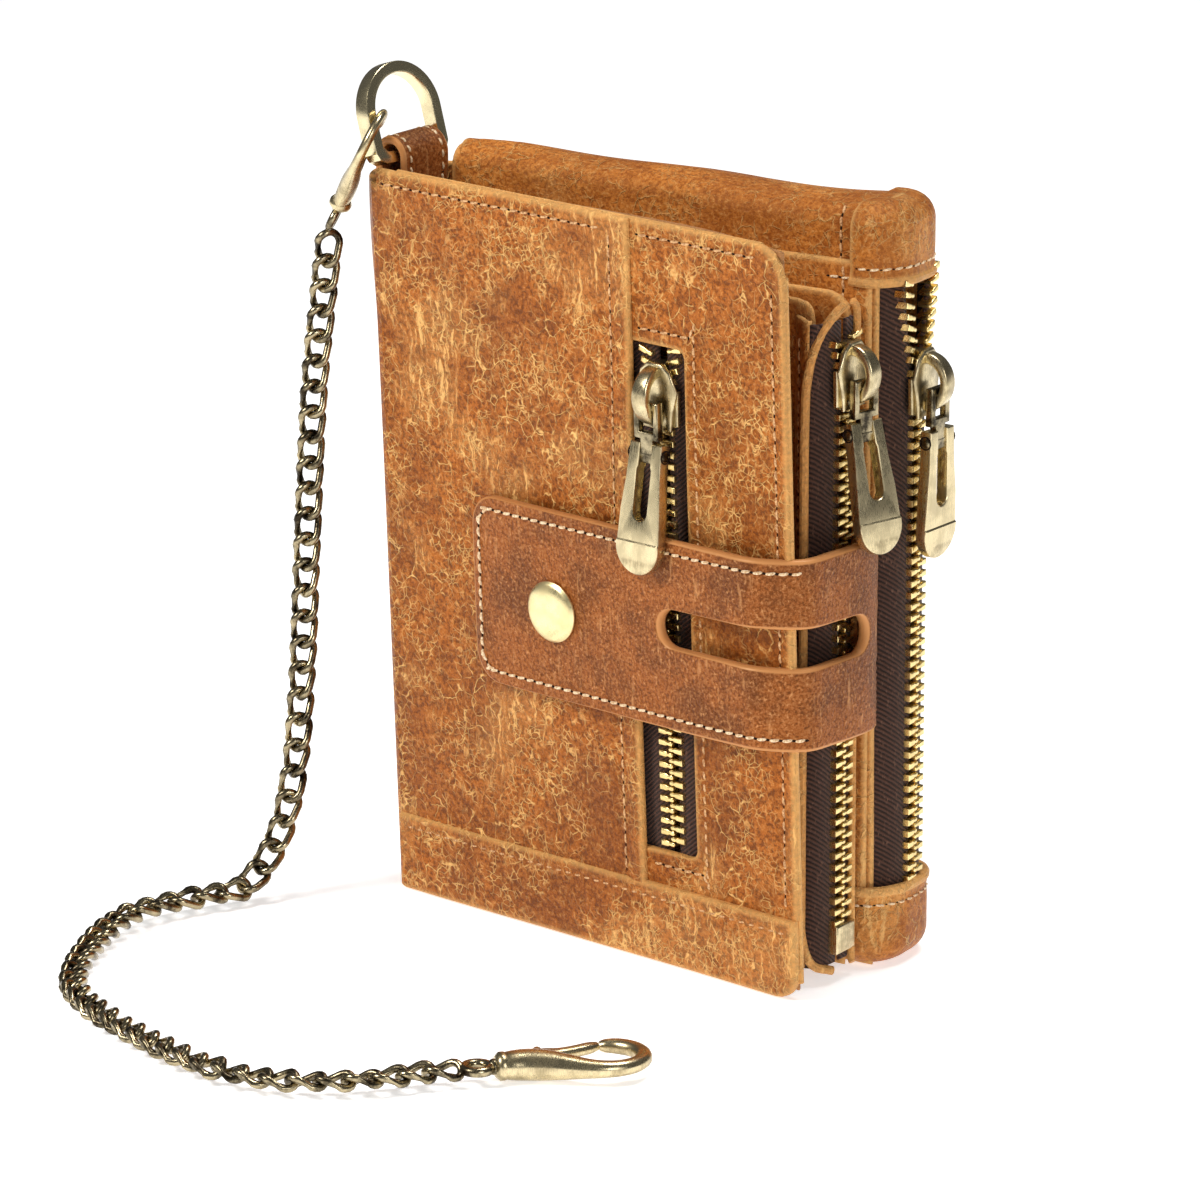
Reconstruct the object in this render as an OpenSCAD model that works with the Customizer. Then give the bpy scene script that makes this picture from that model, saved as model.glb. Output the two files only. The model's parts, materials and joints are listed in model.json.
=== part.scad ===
// Leather chain wallet: a back zip pocket, a hinged middle page with its own zip, a front cover with
// a zip window, a snap strap, a ring in a leather loop, and a chain with a lobster clasp at each end.
// Millimetres. +Z is up, +X runs from the spine to the free edges, the front cover faces -Y.

/* [Front cover] */
// Width from the spine fold to the free edge
cover_w = 88; // [84:1:90]
// Height of the front cover
cover_h = 124; // [122:1:126]
// Angle between the front cover and the X axis
cover_angle = 13.5; // [13:0.5:15]
// Lean of the cover's top towards the front
cover_lean = 2.5; // [0:0.5:3]
// Thickness of the outer leather
leather = 1.5; // [1.2:0.1:1.6]
// Width of the left leather panel
left_panel_w = 56; // [54:0.5:57]
// Height of the folded strip along the bottom edge
band_h = 13.6; // [10:0.2:16]

/* [Zip window in the cover] */
// Distance of the front zip's centre line from the spine fold
front_zip_u = 61.2; // [61:0.1:61.6]
// Bottom of the window
window_bottom = 19.5; // [16:0.5:24]
// Top of the window
window_top = 104; // [103:0.5:106]
// Distance of the window's right edge from the spine fold
window_right = 66.8; // [66.5:0.1:67.5]

/* [Middle page] */
// Height of the middle page's top edge
page_top = 112.5; // [110:0.5:114]
// Length of the middle page
page_len = 82.3; // [81:0.1:83]
// Angle between the middle page and the X axis
page_angle = 4.6; // [4:0.1:5]

/* [Back pocket] */
// Height of the back pocket
back_h = 126; // [124:0.5:128]
// Distance from the Y axis to the flat end of the pocket's walls
back_len = 87; // [86:0.5:88]
// Where the pocket's back face lies
back_y = 17.2; // [16.5:0.1:18]

/* [Zips] */
// Distance between neighbouring teeth of one row
tooth_pitch = 1.9; // [1.8:0.1:2.2]
// Width of a zip slider
slider_w = 8.6; // [8:0.1:9]
// Length of a pull tab
tab_len = 21.2; // [18:0.1:24]
// Width of a pull tab near its round end
tab_w = 9; // [8:0.1:10]

/* [Strap] */
// Height of the strap
strap_h = 31.6; // [28:0.1:33]
// Height of the strap's bottom edge
strap_bottom = 42; // [40:0.5:43]
// Distance of the strap's round end from the spine fold
strap_end_u = 21.4; // [18:0.1:30]
// Diameter of the snap cap
snap_d = 10; // [8:0.5:12]

/* [Ring and chain] */
// Outer radius of the ring's round top
ring_r = 8.3; // [8.1:0.1:8.5]
// Thickness of the ring's metal strip
ring_t = 1.9; // [1.6:0.1:2.1]
// Thickness of the chain, across its links
chain_d = 5; // [4.6:0.1:5]

/* [Hidden] */

// Centre of the whole object's outline, so that the origin is below its middle
centre_x = 46.1;
centre_y = -4.3;

// Leather colours
tan = [0.66, 0.38, 0.17];
dark_tan = [0.50, 0.27, 0.12];
tape_brown = [0.17, 0.09, 0.06];
tooth_gold = [0.83, 0.68, 0.35];
antique = [0.55, 0.45, 0.28];
dark_antique = [0.28, 0.23, 0.16];
polished = [0.85, 0.74, 0.48];

// Height at which the upright axis of the cover's fold meets its leaning left edge
fold_axis_h = 97;

// Depths inside the cover, from the outer face of its leather
zip_depth = 2.1;
lining_t = 0.7;

// Leather of one card slot
slot_t = 0.38;

// Teeth
tooth_l = 1.7;
tooth_h = 1.1;
tooth_t = 2.2;
row_gap = 0.9;
tape_t = 0.7;
tape_start = row_gap + tooth_l + 0.05;

// Heights between which the back zip lies, from the lower cap to the upper one
cap_low_top = 13;
cap_high_bottom = 113.6;

// Slider
plate_t = 1.1;
plate_low = 5.5;
plate_high = 5.2;
rear_plate_w = 6;
rear_plate_t = 0.8;
flange_w = 0.8;
flange_h = 0.8;
post_w = 1.4;
channel = 1.5;
bridge_out = 6.4;
bridge_w = 2;
// Opening of the link, wide enough for a link that hangs turned on its arch
link_gap = 3.4;
bar = 1.3;
link_axis_h = -1.3;
link_axis_y = -4;
pin_h = -9.3;
pin_r = 0.7;
pin_clear = 0.08;
pin_drop = link_axis_h - pin_h;

// Depths of the strap's two faces, from the cover's outer face
strap_in = -1;
strap_out = -3;

// Where each slider stands, along its own zip
front_slider_h = 96.2;
page_slider_h = 100.5;
back_slider_h = 96.5;
// How each tab hangs: turned about the upright, and tilted out at its lower end
page_twist = -14;
back_twist = -6;
front_tilt = 10.5;
page_tilt = 13;

// Ring, its loop and its bottom bar
bar_x = 0.42;
bar_y = 3.04;
bar_z = 124.9;
ring_turn = 14;
ring_lean = 17;
ring_w = 2.9;
// Height of the round top's centre above the bar
ring_rise = 6.9;
corner_cut = 1.8;
loop_inner = 2.3;
loop_outer = 3.7;
// Where the loop's two edges stand along the bar
loop_front = -4.2;
loop_back = 5.6;
loop_low = 113;

// Chain route along its middle, from the small clasp down to the floor and on to the large clasp
chain_route = [
    [-12.2, -1.2, 110.6], [-13.6, -1, 101], [-15.4, -1.5, 83.5], [-16, -3, 60], [-15.4, -6, 38],
    [-14.6, -10, 22], [-15.5, -14, 10.5], [-18, -20, 3.4], [-21.5, -26, 2.7],
    [-25, -32, 2.6], [-27.5, -40, 2.6], [-26.5, -49, 2.6], [-24, -58, 2.6],
    [-20.5, -67, 2.6], [-16, -75, 2.6], [-10, -81, 2.6], [-2.5, -86, 2.6],
    [6, -90.5, 2.6], [16, -95, 2.6], [26, -98, 2.6], [36, -98, 2.6],
    [45, -94, 2.6], [51, -88.5, 2.6], [55, -83.6, 2.6], [58.4, -80.6, 2.6]
];
chain_sides = 8;
chain_steps = 3;

// Small clasp: from its eye up to the ring; large clasp: lying on the floor
small_clasp_at = [-9.8, -1.75, 116.2];
small_clasp_yaw = -17.4;
small_clasp_pitch = -57.6;
small_clasp_roll = 34.3;
small_size = 19.6;
small_t = 2.6;
large_clasp_at = [63.3, -76.1, 2.7];
large_clasp_yaw = 43.4;
large_size = 24;
large_t = 5;
// Radius of a swivel's post, as a part of the clasp's size
post_part = 0.027;

// ---- frames ----------------------------------------------------------------------------------

module placed() {
    translate([-centre_x, -centre_y, 0]) children();
}

// The cover's own frame: x from the spine fold, z up the cover, outer face at y = 0
module on_cover() {
    placed() rotate([0, 0, -cover_angle]) rotate([cover_lean, 0, 0]) children();
}

// The middle page's own frame: rear face at y = 0
module on_page() {
    placed() translate([3, 4.2, 0]) rotate([0, 0, -page_angle]) children();
}

// A zip's frame: x across the zip, z along it, outwards is -y
module on_front_zip() {
    on_cover() translate([front_zip_u, zip_depth, 0]) children();
}

module on_page_zip() {
    on_page() translate([83, -3.8, 0]) rotate([0, 0, 90]) children();
}

module on_back_zip() {
    placed() translate([90.3, 9.4, 0]) rotate([0, 0, 90]) children();
}

// ---- shared shapes ---------------------------------------------------------------------------

// An upright wall whose plan is a polygon
module upright(points, low, high) {
    translate([0, 0, low]) linear_extrude(high - low) polygon(points);
}

// A panel in the xz plane: the 2D shape's x stays, its y becomes z, its face is at y = front
module panel(front, thick) {
    translate([0, front + thick, 0]) rotate([90, 0, 0]) linear_extrude(thick) children();
}

// A shape drawn in the yz plane, extruded along x and centred on x = 0
module across(width) {
    rotate([90, 0, 90]) translate([0, 0, -width / 2]) linear_extrude(width) children();
}

// A rectangle with its right corners rounded
module right_rounded(w, h, r) {
    square([w - r, h]);
    translate([w - r - 0.01, r]) square([r + 0.01, h - 2 * r]);
    for (z = [r, h - r]) translate([w - r, z]) circle(r = r, $fn = 32);
}

// One row of teeth on one side of a zip
module tooth_row(side, low, high) {
    rows = floor((high - low) / tooth_pitch);
    shift = side > 0 ? tooth_pitch / 2 : 0;
    for (k = [0 : rows - 1])
        translate([side > 0 ? row_gap : -row_gap - tooth_l, -tooth_t / 2, low + shift + k * tooth_pitch])
            cube([tooth_l, tooth_t, tooth_h]);
}

// Slider body: two plates, flanges over the tape, the post between the rows and the arch on top
module slider_body() {
    wide = slider_w / 2;
    plate = [[-wide + 1, -plate_low], [wide - 1, -plate_low], [wide, 0], [wide - 0.6, plate_high - 1.2],
             [1.5, plate_high], [-1.5, plate_high], [-wide + 0.6, plate_high - 1.2], [-wide, 0]];
    panel(-channel - plate_t, plate_t) polygon(plate);
    panel(channel, rear_plate_t) translate([-rear_plate_w / 2, -plate_low])
        square([rear_plate_w, plate_low + plate_high]);
    for (side = [-1, 1]) translate([side * (wide - flange_w / 2 - 0.3), -channel + flange_h / 2, -1.3])
        cube([flange_w, flange_h + 0.2, 6], center = true);
    translate([-post_w / 2, -channel - 0.1, 3]) cube([post_w, 2 * channel + 0.2, plate_high - 3.4]);
    across(bridge_w) difference() {
        polygon([[-channel - plate_t + 0.1, -4.2], [-channel - plate_t + 0.1, 4.2], [-4.6, 4.2],
                 [-bridge_out, 2.4], [-bridge_out, -2.4], [-4.6, -4.2]]);
        polygon([[-channel - plate_t - 0.2, -2.6], [-channel - plate_t - 0.2, 2.6], [-4.4, 2.6],
                 [-bridge_out + 1.15, 1.8], [-bridge_out + 1.15, -1.8], [-4.4, -2.6]]);
    }
}

// Everything below is drawn in the link's frame, whose origin is the middle of the link's top bar
module hanging(height, twist) {
    translate([0, link_axis_y, height + link_axis_h]) rotate([0, 0, twist]) children();
}

// Square ring round the slider's arch, with a tongue down to the pin
module link_body() {
    difference() {
        union() {
            translate([-2.6, -bar / 2, -5.5]) cube([5.2, bar, 5.5 + bar / 2]);
            translate([-1.1, -1, -pin_drop - 1.4]) cube([2.2, 2, pin_drop + 1.4 - 5]);
        }
        translate([-link_gap / 2, -bar, -4.4]) cube([link_gap, 2 * bar, 3.75]);
        translate([0, 0, -pin_drop]) rotate([0, 90, 0])
            cylinder(r = pin_r + pin_clear, h = 4, center = true, $fn = 32);
    }
}

module pin_body() {
    translate([0, 0, -pin_drop]) rotate([0, 90, 0]) cylinder(r = pin_r, h = 6.4, center = true, $fn = 32);
}

// Pull tab, hung on its pin and tilted outwards about it
module tab_body(tilt) {
    top = 1.8;
    half = tab_w / 2;
    low = half - tab_len + top;
    translate([0, 0, -pin_drop]) rotate([-tilt, 0, 0]) difference() {
        panel(-1.1, 2.2) polygon(concat([[-3.3, top], [3.3, top]],
            [for (a = [0 : -12 : -180]) [half * cos(a), low + half * sin(a)]]));
        panel(-2, 4) polygon(concat([[-1.4, top + 1], [1.4, top + 1]],
            [for (a = [0 : -20 : -180]) [1.4 * cos(a), 1.4 * sin(a) - 9]]));
        rotate([0, 90, 0]) cylinder(r = pin_r, h = 12, center = true, $fn = 32);
    }
}

// ---- back pocket -----------------------------------------------------------------------------

module back_wall() {
    color(tan) placed() upright([
        [6.1, 7.9], [5.8, 10], [6.8, 14.5], [10.4, back_y], [back_len - 0.6, back_y],
        [back_len - 0.6, back_y - leather], [11, back_y - leather], [8, 13.8], [7.2, 10], [7.4, 7.9]
    ], 0, back_h);
}

module back_front_wall() {
    color(tan) placed() upright([
        [6.6, 6.2], [back_len, 1.5], [back_len, 2.9], [6.6, 7.6]
    ], 0, back_h - 3.2);
}

module gusset(low, high) {
    placed() upright([
        [7.6, 8], [back_len - 2, 3.4], [back_len - 2, back_y - leather - 0.2],
        [11.2, back_y - leather - 0.2], [8.3, 13.6]
    ], low, high);
}

module back_top_gusset() {
    color(tan) gusset(back_h - 3, back_h - 1.4);
}

module back_bottom_gusset() {
    color(tan) gusset(0, 1.4);
}

module slip_panel() {
    color(tan) placed() upright([
        [30, 3.5], [back_len - 4.4, 0.45], [back_len - 4.4, 1.65], [30, 4.7]
    ], 8, 116.5);
}

// Plan of the pocket's round end, as a strip of leather
module end_strip(low, high) {
    placed() upright([
        [83, 0.0], [88.2, -0.1], [91.3, 5], [91.7, 9], [91.3, 13.2], [88.2, 18.6], [83, 18.6],
        [83, 17.5], [87.6, 17.5], [90.2, 13], [90.6, 9], [90.2, 5.4], [87.6, 1.2], [83, 1.3]
    ], low, high);
}

// Flat piece that closes a cap
module cap_end(low, high) {
    placed() upright([
        [87.1, 0.6], [88, 0.7], [90.8, 5.2], [91.2, 9], [90.8, 13.2], [88, 17.9], [87.1, 17.9]
    ], low, high);
}

module back_top_cap() {
    color(tan) union() {
        end_strip(cap_high_bottom, back_h);
        cap_end(back_h - 1.6, back_h);
    }
}

module back_bottom_cap() {
    color(tan) union() {
        end_strip(0, cap_low_top);
        cap_end(0, 1.6);
    }
}

module back_tape_front() {
    color(tape_brown) placed() upright([
        [86.6, 3.4], [87.4, 3.1], [90, 4.75], [90.65, 5.1], [90.65, 6.75], [89.95, 6.75], [89.95, 5.4]
    ], cap_low_top + 0.3, cap_high_bottom - 0.3);
}

module back_tape_rear() {
    color(tape_brown) placed() upright([
        [86.6, 15.4], [87.4, 15.7], [90, 14.05], [90.65, 13.7], [90.65, 12.05], [89.95, 12.05], [89.95, 13.4]
    ], cap_low_top + 0.3, cap_high_bottom - 0.3);
}

module back_teeth_front() {
    color(tooth_gold) on_back_zip() tooth_row(-1, cap_low_top + 0.5, cap_high_bottom - 0.5);
}

module back_teeth_rear() {
    color(tooth_gold) on_back_zip() tooth_row(1, cap_low_top + 0.5, cap_high_bottom - 0.5);
}

// Outer leather round the spine, from the cover's fold to the back pocket
module spine() {
    color(tan) placed() difference() {
        upright([
            [-0.6, 0.2], [-3.6, 4], [-4.4, 9], [-2.4, 14], [2, 16.6], [5.4, 17.1],
            [5.2, 15.9], [2.6, 15.4], [-1.4, 13.2], [-3.1, 9], [-2.4, 4.4], [-0.1, 1.2]
        ], 0, 121);
        translate([bar_x, bar_y, loop_low - 0.1]) rotate([0, 0, -ring_turn])
            translate([-loop_outer - 0.1, loop_front - 0.1, 0])
                cube([2 * loop_outer + 0.2, loop_back - loop_front + 0.2, 20]);
    }
}

module on_bar() {
    placed() translate([bar_x, bar_y, bar_z]) rotate([0, 0, -ring_turn]) children();
}

module ring_loop() {
    drop = bar_z - loop_low;
    color(dark_tan) on_bar() translate([0, loop_back, 0]) rotate([90, 0, 0])
        linear_extrude(loop_back - loop_front) {
            difference() {
                circle(r = loop_outer, $fn = 48);
                circle(r = loop_inner, $fn = 48);
                translate([-5, -10]) square([10, 10]);
            }
            for (x = [-loop_outer, loop_inner])
                translate([x, -drop]) square([loop_outer - loop_inner, drop]);
        }
}

// ---- middle page -----------------------------------------------------------------------------

module page_rear_wall() {
    color(tan) on_page() translate([0, -1.2, 1.5]) cube([page_len - 2, 1.2, page_top - 1.5]);
}

// Front wall runs away from the rear wall, so that the page widens towards its zip
module page_front_wall() {
    color(tan) on_page() upright([
        [0, -2.1], [79.4, -6.4], [79.4, -5.4], [0, -1.35]
    ], 3, page_top - 0.5);
}

module page_bottom_gusset() {
    color(tan) on_page() upright([
        [40, -3.3], [79, -5.25], [79, -1.35], [40, -1.35]
    ], 3, 4.2);
}

// Leather edge that holds the front half of the page's zip tape
module page_binding() {
    color(tan) on_page() upright([
        [75.8, -6.4], [80.3, -10.4], [81.3, -9.9], [80.9, -9.2], [77.8, -6.5]
    ], 3, page_top - 4);
}

module card_slot(layer, high) {
    color(tan) on_page() translate([0, -layer * (slot_t + 0.02), 0]) upright([
        [20, -3.2], [75.6, -6.21], [75.6, -6.21 - slot_t], [20, -3.2 - slot_t]
    ], 5, high);
}

module card_slot_high() {
    card_slot(0, 98);
}

module card_slot_mid() {
    card_slot(1, 87.5);
}

module card_slot_low() {
    card_slot(2, 77);
}

module page_tape_front() {
    color(tape_brown) on_page() upright([
        [80.9, -9.15], [81.35, -9.75], [83.35, -8.2], [83.35, -6.5], [82.65, -6.5], [82.65, -8]
    ], 3, page_top - 4);
}

module page_tape_rear() {
    color(tape_brown) on_page() upright([
        [page_len - 1.95, -0.45], [82.65, -0.45], [82.65, -1.15], [83.35, -1.15], [83.35, 0], [page_len - 1.95, 0]
    ], 3, page_top - 4);
}

module page_teeth_front() {
    color(tooth_gold) on_page_zip() tooth_row(-1, 10, 106);
}

module page_teeth_rear() {
    color(tooth_gold) on_page_zip() tooth_row(1, 10, 106);
}

module page_stop() {
    color(antique) on_page_zip() translate([-2.5, -1.7, 5]) cube([5, 3.4, 4.6]);
}

// The strap's end, sewn to the page's rear wall
module strap_root() {
    color(dark_tan) on_page() translate([62, 0.02, strap_bottom + 1]) cube([18, 1, strap_h - 2]);
}

// ---- front cover -----------------------------------------------------------------------------

module cover_left_panel() {
    color(tan) on_cover() panel(0, leather) translate([0, band_h]) square([left_panel_w, cover_h - band_h]);
}

module cover_right_panel() {
    low = band_h;
    color(tan) on_cover() panel(0, leather) difference() {
        translate([left_panel_w, low - 6]) intersection() {
            translate([0, 6]) square([cover_w - left_panel_w, cover_h - low]);
            right_rounded(cover_w - left_panel_w, cover_h - low + 6, 5);
        }
        translate([left_panel_w - 1, window_bottom])
            right_rounded(window_right - left_panel_w + 1, window_top - window_bottom, 1.5);
    }
}

// Folded strip along the cover's bottom edge
module cover_band() {
    color(tan) on_cover() panel(0, leather) intersection() {
        square([cover_w, band_h]);
        right_rounded(cover_w, band_h + 6, 4);
    }
}

// Inner face of the cover, bowed out to make room for the zip
module cover_lining() {
    color(dark_tan) on_cover() upright([
        [6, leather + 0.05], [8, leather + 0.4], [54, 4.7], [68, 4.7], [84, leather + 1.2], [86.5, leather + 0.05],
        [87.2, leather + 0.05], [84.4, leather + 1.2 + lining_t], [68.4, 4.7 + lining_t],
        [53.8, 4.7 + lining_t], [7.8, leather + 0.4 + lining_t], [4.8, leather + 0.05]
    ], 2, cover_h - 1.5);
}

module cover_tape(side) {
    width = 9 - tape_start;
    color(tape_brown) on_front_zip() translate([side > 0 ? tape_start : -9, -tape_t / 2, window_bottom - 4])
        cube([width, tape_t, window_top - window_bottom + 8]);
}

module cover_tape_left() {
    cover_tape(-1);
}

module cover_tape_right() {
    cover_tape(1);
}

module cover_teeth_left() {
    color(tooth_gold) on_front_zip() tooth_row(-1, window_bottom + 1, window_top - 1);
}

module cover_teeth_right() {
    color(tooth_gold) on_front_zip() tooth_row(1, window_bottom + 1, window_top - 1);
}

// Lower half of the snap, fixed in the cover under the cap
module snap_stud() {
    color(antique) on_cover() translate([40, 0, 57.2]) rotate([90, 0, 0])
        cylinder(d = 6, h = 0.9, $fn = 48);
}

// ---- strap -----------------------------------------------------------------------------------

// The strap's part on the cover: round end, snap and the long slot
module strap_front() {
    height = strap_h;
    r = 5.5;
    panel(strap_out, strap_in - strap_out) difference() {
        union() {
            translate([strap_end_u + r, strap_bottom]) square([cover_w - 0.5 - strap_end_u - r, height]);
            translate([strap_end_u, strap_bottom + r]) square([r + 1, height - 2 * r]);
            for (z = [strap_bottom + r, strap_bottom + height - r])
                translate([strap_end_u + r, z]) circle(r = r, $fn = 48);
        }
        translate([66.5, strap_bottom + height / 2 - 2]) square([cover_w, 6.4]);
        translate([66.5, strap_bottom + height / 2 + 1.2]) circle(r = 3.2, $fn = 32);
        translate([40, 57.2]) circle(r = 1.6, $fn = 32);
    }
}

// The strap's bend round the page's edge, split by the slot into two bars
module strap_bend(low, high) {
    placed() upright([
        [82.4, -24.3], [82.4, -26.3], [86.2, -26.4], [87.8, -23.5], [89.4, -16], [90.4, -8],
        [90.2, -3.2], [88.4, -1.1], [85.3, -1.5], [85.4, -2.4], [87.8, -2.4], [88.8, -4],
        [88.9, -8], [87.9, -15.8], [86.4, -22.6], [85.2, -24.3]
    ], low, high);
}

module strap() {
    middle = strap_bottom + strap_h / 2;
    color(dark_tan) union() {
        on_cover() strap_front();
        strap_bend(strap_bottom, middle - 2);
        strap_bend(middle + 4.4, strap_bottom + strap_h);
    }
}

module snap_cap() {
    color(polished) on_cover() translate([40, strap_out, 57.2]) rotate([90, 0, 0]) {
        cylinder(d = snap_d, h = 0.7, $fn = 64);
        translate([0, 0, 0.7]) intersection() {
            cylinder(d = snap_d, h = 2, $fn = 64);
            translate([0, 0, -8.4]) sphere(r = 9.78, $fn = 64);
        }
        translate([0, 0, -1.9]) cylinder(d = 3, h = 1.9, $fn = 48);
    }
}

// ---- zip pullers -----------------------------------------------------------------------------

module front_slider() {
    color(antique) on_front_zip() translate([0, 0, front_slider_h]) slider_body();
}

module front_link() {
    color(antique) on_front_zip() hanging(front_slider_h, 0) link_body();
}

module front_pin() {
    color(dark_antique) on_front_zip() hanging(front_slider_h, 0) pin_body();
}

module front_tab() {
    color(antique) on_front_zip() hanging(front_slider_h, 0) tab_body(front_tilt);
}

module page_slider() {
    color(antique) on_page_zip() translate([0, 0, page_slider_h]) slider_body();
}

module page_link() {
    color(antique) on_page_zip() hanging(page_slider_h, page_twist) link_body();
}

module page_pin() {
    color(dark_antique) on_page_zip() hanging(page_slider_h, page_twist) pin_body();
}

module page_tab() {
    color(antique) on_page_zip() hanging(page_slider_h, page_twist) tab_body(page_tilt);
}

module back_slider() {
    color(antique) on_back_zip() translate([0, 0, back_slider_h]) slider_body();
}

module back_link() {
    color(antique) on_back_zip() hanging(back_slider_h, back_twist) link_body();
}

module back_pin() {
    color(dark_antique) on_back_zip() hanging(back_slider_h, back_twist) pin_body();
}

module back_tab() {
    color(antique) on_back_zip() hanging(back_slider_h, back_twist) tab_body(0);
}

// ---- ring ------------------------------------------------------------------------------------

// Drawn round the middle of its bottom bar, then leant to the left
module ring() {
    color(antique) on_bar() rotate([0, -ring_lean, 0]) across(ring_w) {
        translate([0, ring_rise]) difference() {
            circle(r = ring_r, $fn = 96);
            circle(r = ring_r - ring_t, $fn = 96);
            translate([-ring_r - 1, -2 * ring_r]) square([2 * ring_r + 2, 2 * ring_r]);
        }
        difference() {
            ring_foot(ring_r, -ring_t / 2, corner_cut);
            ring_foot(ring_r - ring_t, ring_t / 2, corner_cut * 0.6);
        }
    }
}

// Straight sides and a flat bottom with cut corners
module ring_foot(r, low, cut) {
    polygon([[-r, ring_rise], [r, ring_rise], [r, low + cut], [r - cut, low], [cut - r, low], [-r, low + cut]]);
}

// ---- lobster clasps --------------------------------------------------------------------------

// Plan of a clasp of the given size: swivel end at the origin, claw towards +x
module clasp_hook(size) {
    difference() {
        union() {
            translate([size * 0.72, 0]) circle(r = size * 0.29, $fn = 64);
            polygon([[0, -size * 0.1], [size * 0.55, -size * 0.23], [size * 0.7, 0],
                     [size * 0.55, size * 0.23], [0, size * 0.1]]);
        }
        translate([size * 0.73, 0]) circle(r = size * 0.22, $fn = 64);
        polygon([[size * 0.24, size * 0.03], [size * 0.34, -size * 0.03], [size * 0.61, -size * 0.03],
                 [size * 0.66, size * 0.1], [size * 0.76, size * 0.4], [size * 0.24, size * 0.4]]);
    }
}

module clasp_body(size, thick) {
    difference() {
        translate([0, 0, -thick / 2]) linear_extrude(thick) clasp_hook(size);
        translate([-1, 0, 0]) rotate([0, 90, 0])
            cylinder(r = size * post_part + pin_clear, h = size * 0.13 + 1, $fn = 32);
    }
}

// Sprung lever that closes the claw
module clasp_trigger(size, thick) {
    translate([0, 0, -thick / 3]) linear_extrude(thick * 0.66)
        polygon([[size * 0.27, size * 0.045], [size * 0.34, size * 0.03], [size * 0.58, size * 0.15],
                 [size * 0.665, size * 0.2], [size * 0.685, size * 0.26], [size * 0.6, size * 0.26],
                 [size * 0.3, size * 0.16], [size * 0.27, size * 0.12]]);
}

// Eye that turns in the clasp's end
module clasp_swivel(size, thick) {
    difference() {
        union() {
            translate([-size * 0.14, 0, -thick * 0.22]) linear_extrude(thick * 0.44)
                circle(r = size * 0.11, $fn = 32);
            translate([-size * 0.08, 0, 0]) rotate([0, 90, 0])
                cylinder(r = size * post_part, h = size * 0.19, $fn = 32);
        }
        translate([-size * 0.14, 0, -thick]) cylinder(r = size * 0.06, h = 2 * thick, $fn = 32);
    }
}

module small_clasp() {
    placed() translate(small_clasp_at) rotate([small_clasp_roll, small_clasp_pitch, small_clasp_yaw])
        children();
}

module large_clasp() {
    placed() translate(large_clasp_at) rotate([0, 0, large_clasp_yaw]) children();
}

module small_clasp_body() {
    color(antique) small_clasp() clasp_body(small_size, small_t);
}

module small_clasp_trigger() {
    color(antique) small_clasp() clasp_trigger(small_size, small_t);
}

module small_clasp_swivel() {
    color(dark_antique) small_clasp() clasp_swivel(small_size, small_t);
}

module large_clasp_body() {
    color(antique) large_clasp() clasp_body(large_size, large_t);
}

module large_clasp_trigger() {
    color(antique) large_clasp() clasp_trigger(large_size, large_t);
}

module large_clasp_swivel() {
    color(dark_antique) large_clasp() clasp_swivel(large_size, large_t);
}

// ---- chain -----------------------------------------------------------------------------------

// A point of a smooth curve through a, b, c, d, at part t of the way from b to c
function smooth(a, b, c, d, t) =
    0.5 * (2 * b + (c - a) * t + (2 * a - 5 * b + 4 * c - d) * t * t + (3 * b - a - 3 * c + d) * t * t * t);

function route_point(points, i, t) =
    smooth(points[max(i - 1, 0)], points[i], points[i + 1], points[min(i + 2, len(points) - 1)], t);

function route_curve(points, steps) = concat(
    [for (i = [0 : len(points) - 2], k = [0 : steps - 1]) route_point(points, i, k / steps)],
    [points[len(points) - 1]]);

function unit(v) = v / norm(v);

// A ring of points across the curve at point i
function chain_ring(curve, i) =
    let (last = len(curve) - 1,
         along = unit(curve[min(i + 1, last)] - curve[max(i - 1, 0)]),
         side = unit(cross(along, [0.35, 0.2, 1])),
         rise = cross(side, along))
    [for (k = [0 : chain_sides - 1])
        curve[i] + chain_d / 2 * (cos(k * 360 / chain_sides) * side + sin(k * 360 / chain_sides) * rise)];

module chain() {
    curve = route_curve(chain_route, chain_steps);
    rings = len(curve);
    points = [for (i = [0 : rings - 1]) each chain_ring(curve, i)];
    sides = [for (i = [0 : rings - 2], k = [0 : chain_sides - 1])
        let (next = (k + 1) % chain_sides)
        [i * chain_sides + k, i * chain_sides + next,
         (i + 1) * chain_sides + next, (i + 1) * chain_sides + k]];
    first = [for (k = [chain_sides - 1 : -1 : 0]) k];
    last = [for (k = [0 : chain_sides - 1]) (rings - 1) * chain_sides + k];
    color(dark_antique) placed() polyhedron(points, concat(sides, [first], [last]));
}

back_wall();
back_front_wall();
back_top_gusset();
back_bottom_gusset();
slip_panel();
back_top_cap();
back_bottom_cap();
back_tape_front();
back_tape_rear();
back_teeth_front();
back_teeth_rear();
spine();
ring_loop();
page_rear_wall();
page_front_wall();
page_bottom_gusset();
page_binding();
card_slot_low();
card_slot_mid();
card_slot_high();
page_tape_front();
page_tape_rear();
page_teeth_front();
page_teeth_rear();
page_stop();
strap_root();
cover_left_panel();
cover_right_panel();
cover_band();
cover_lining();
cover_tape_left();
cover_tape_right();
cover_teeth_left();
cover_teeth_right();
snap_stud();
strap();
snap_cap();
front_slider();
front_link();
front_pin();
front_tab();
page_slider();
page_link();
page_pin();
page_tab();
back_slider();
back_link();
back_pin();
back_tab();
ring();
small_clasp_body();
small_clasp_trigger();
small_clasp_swivel();
chain();
large_clasp_body();
large_clasp_trigger();
large_clasp_swivel();
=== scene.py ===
import json
import math
import random

import bmesh
import bpy
import numpy as np
from mathutils import Matrix, Vector


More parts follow.
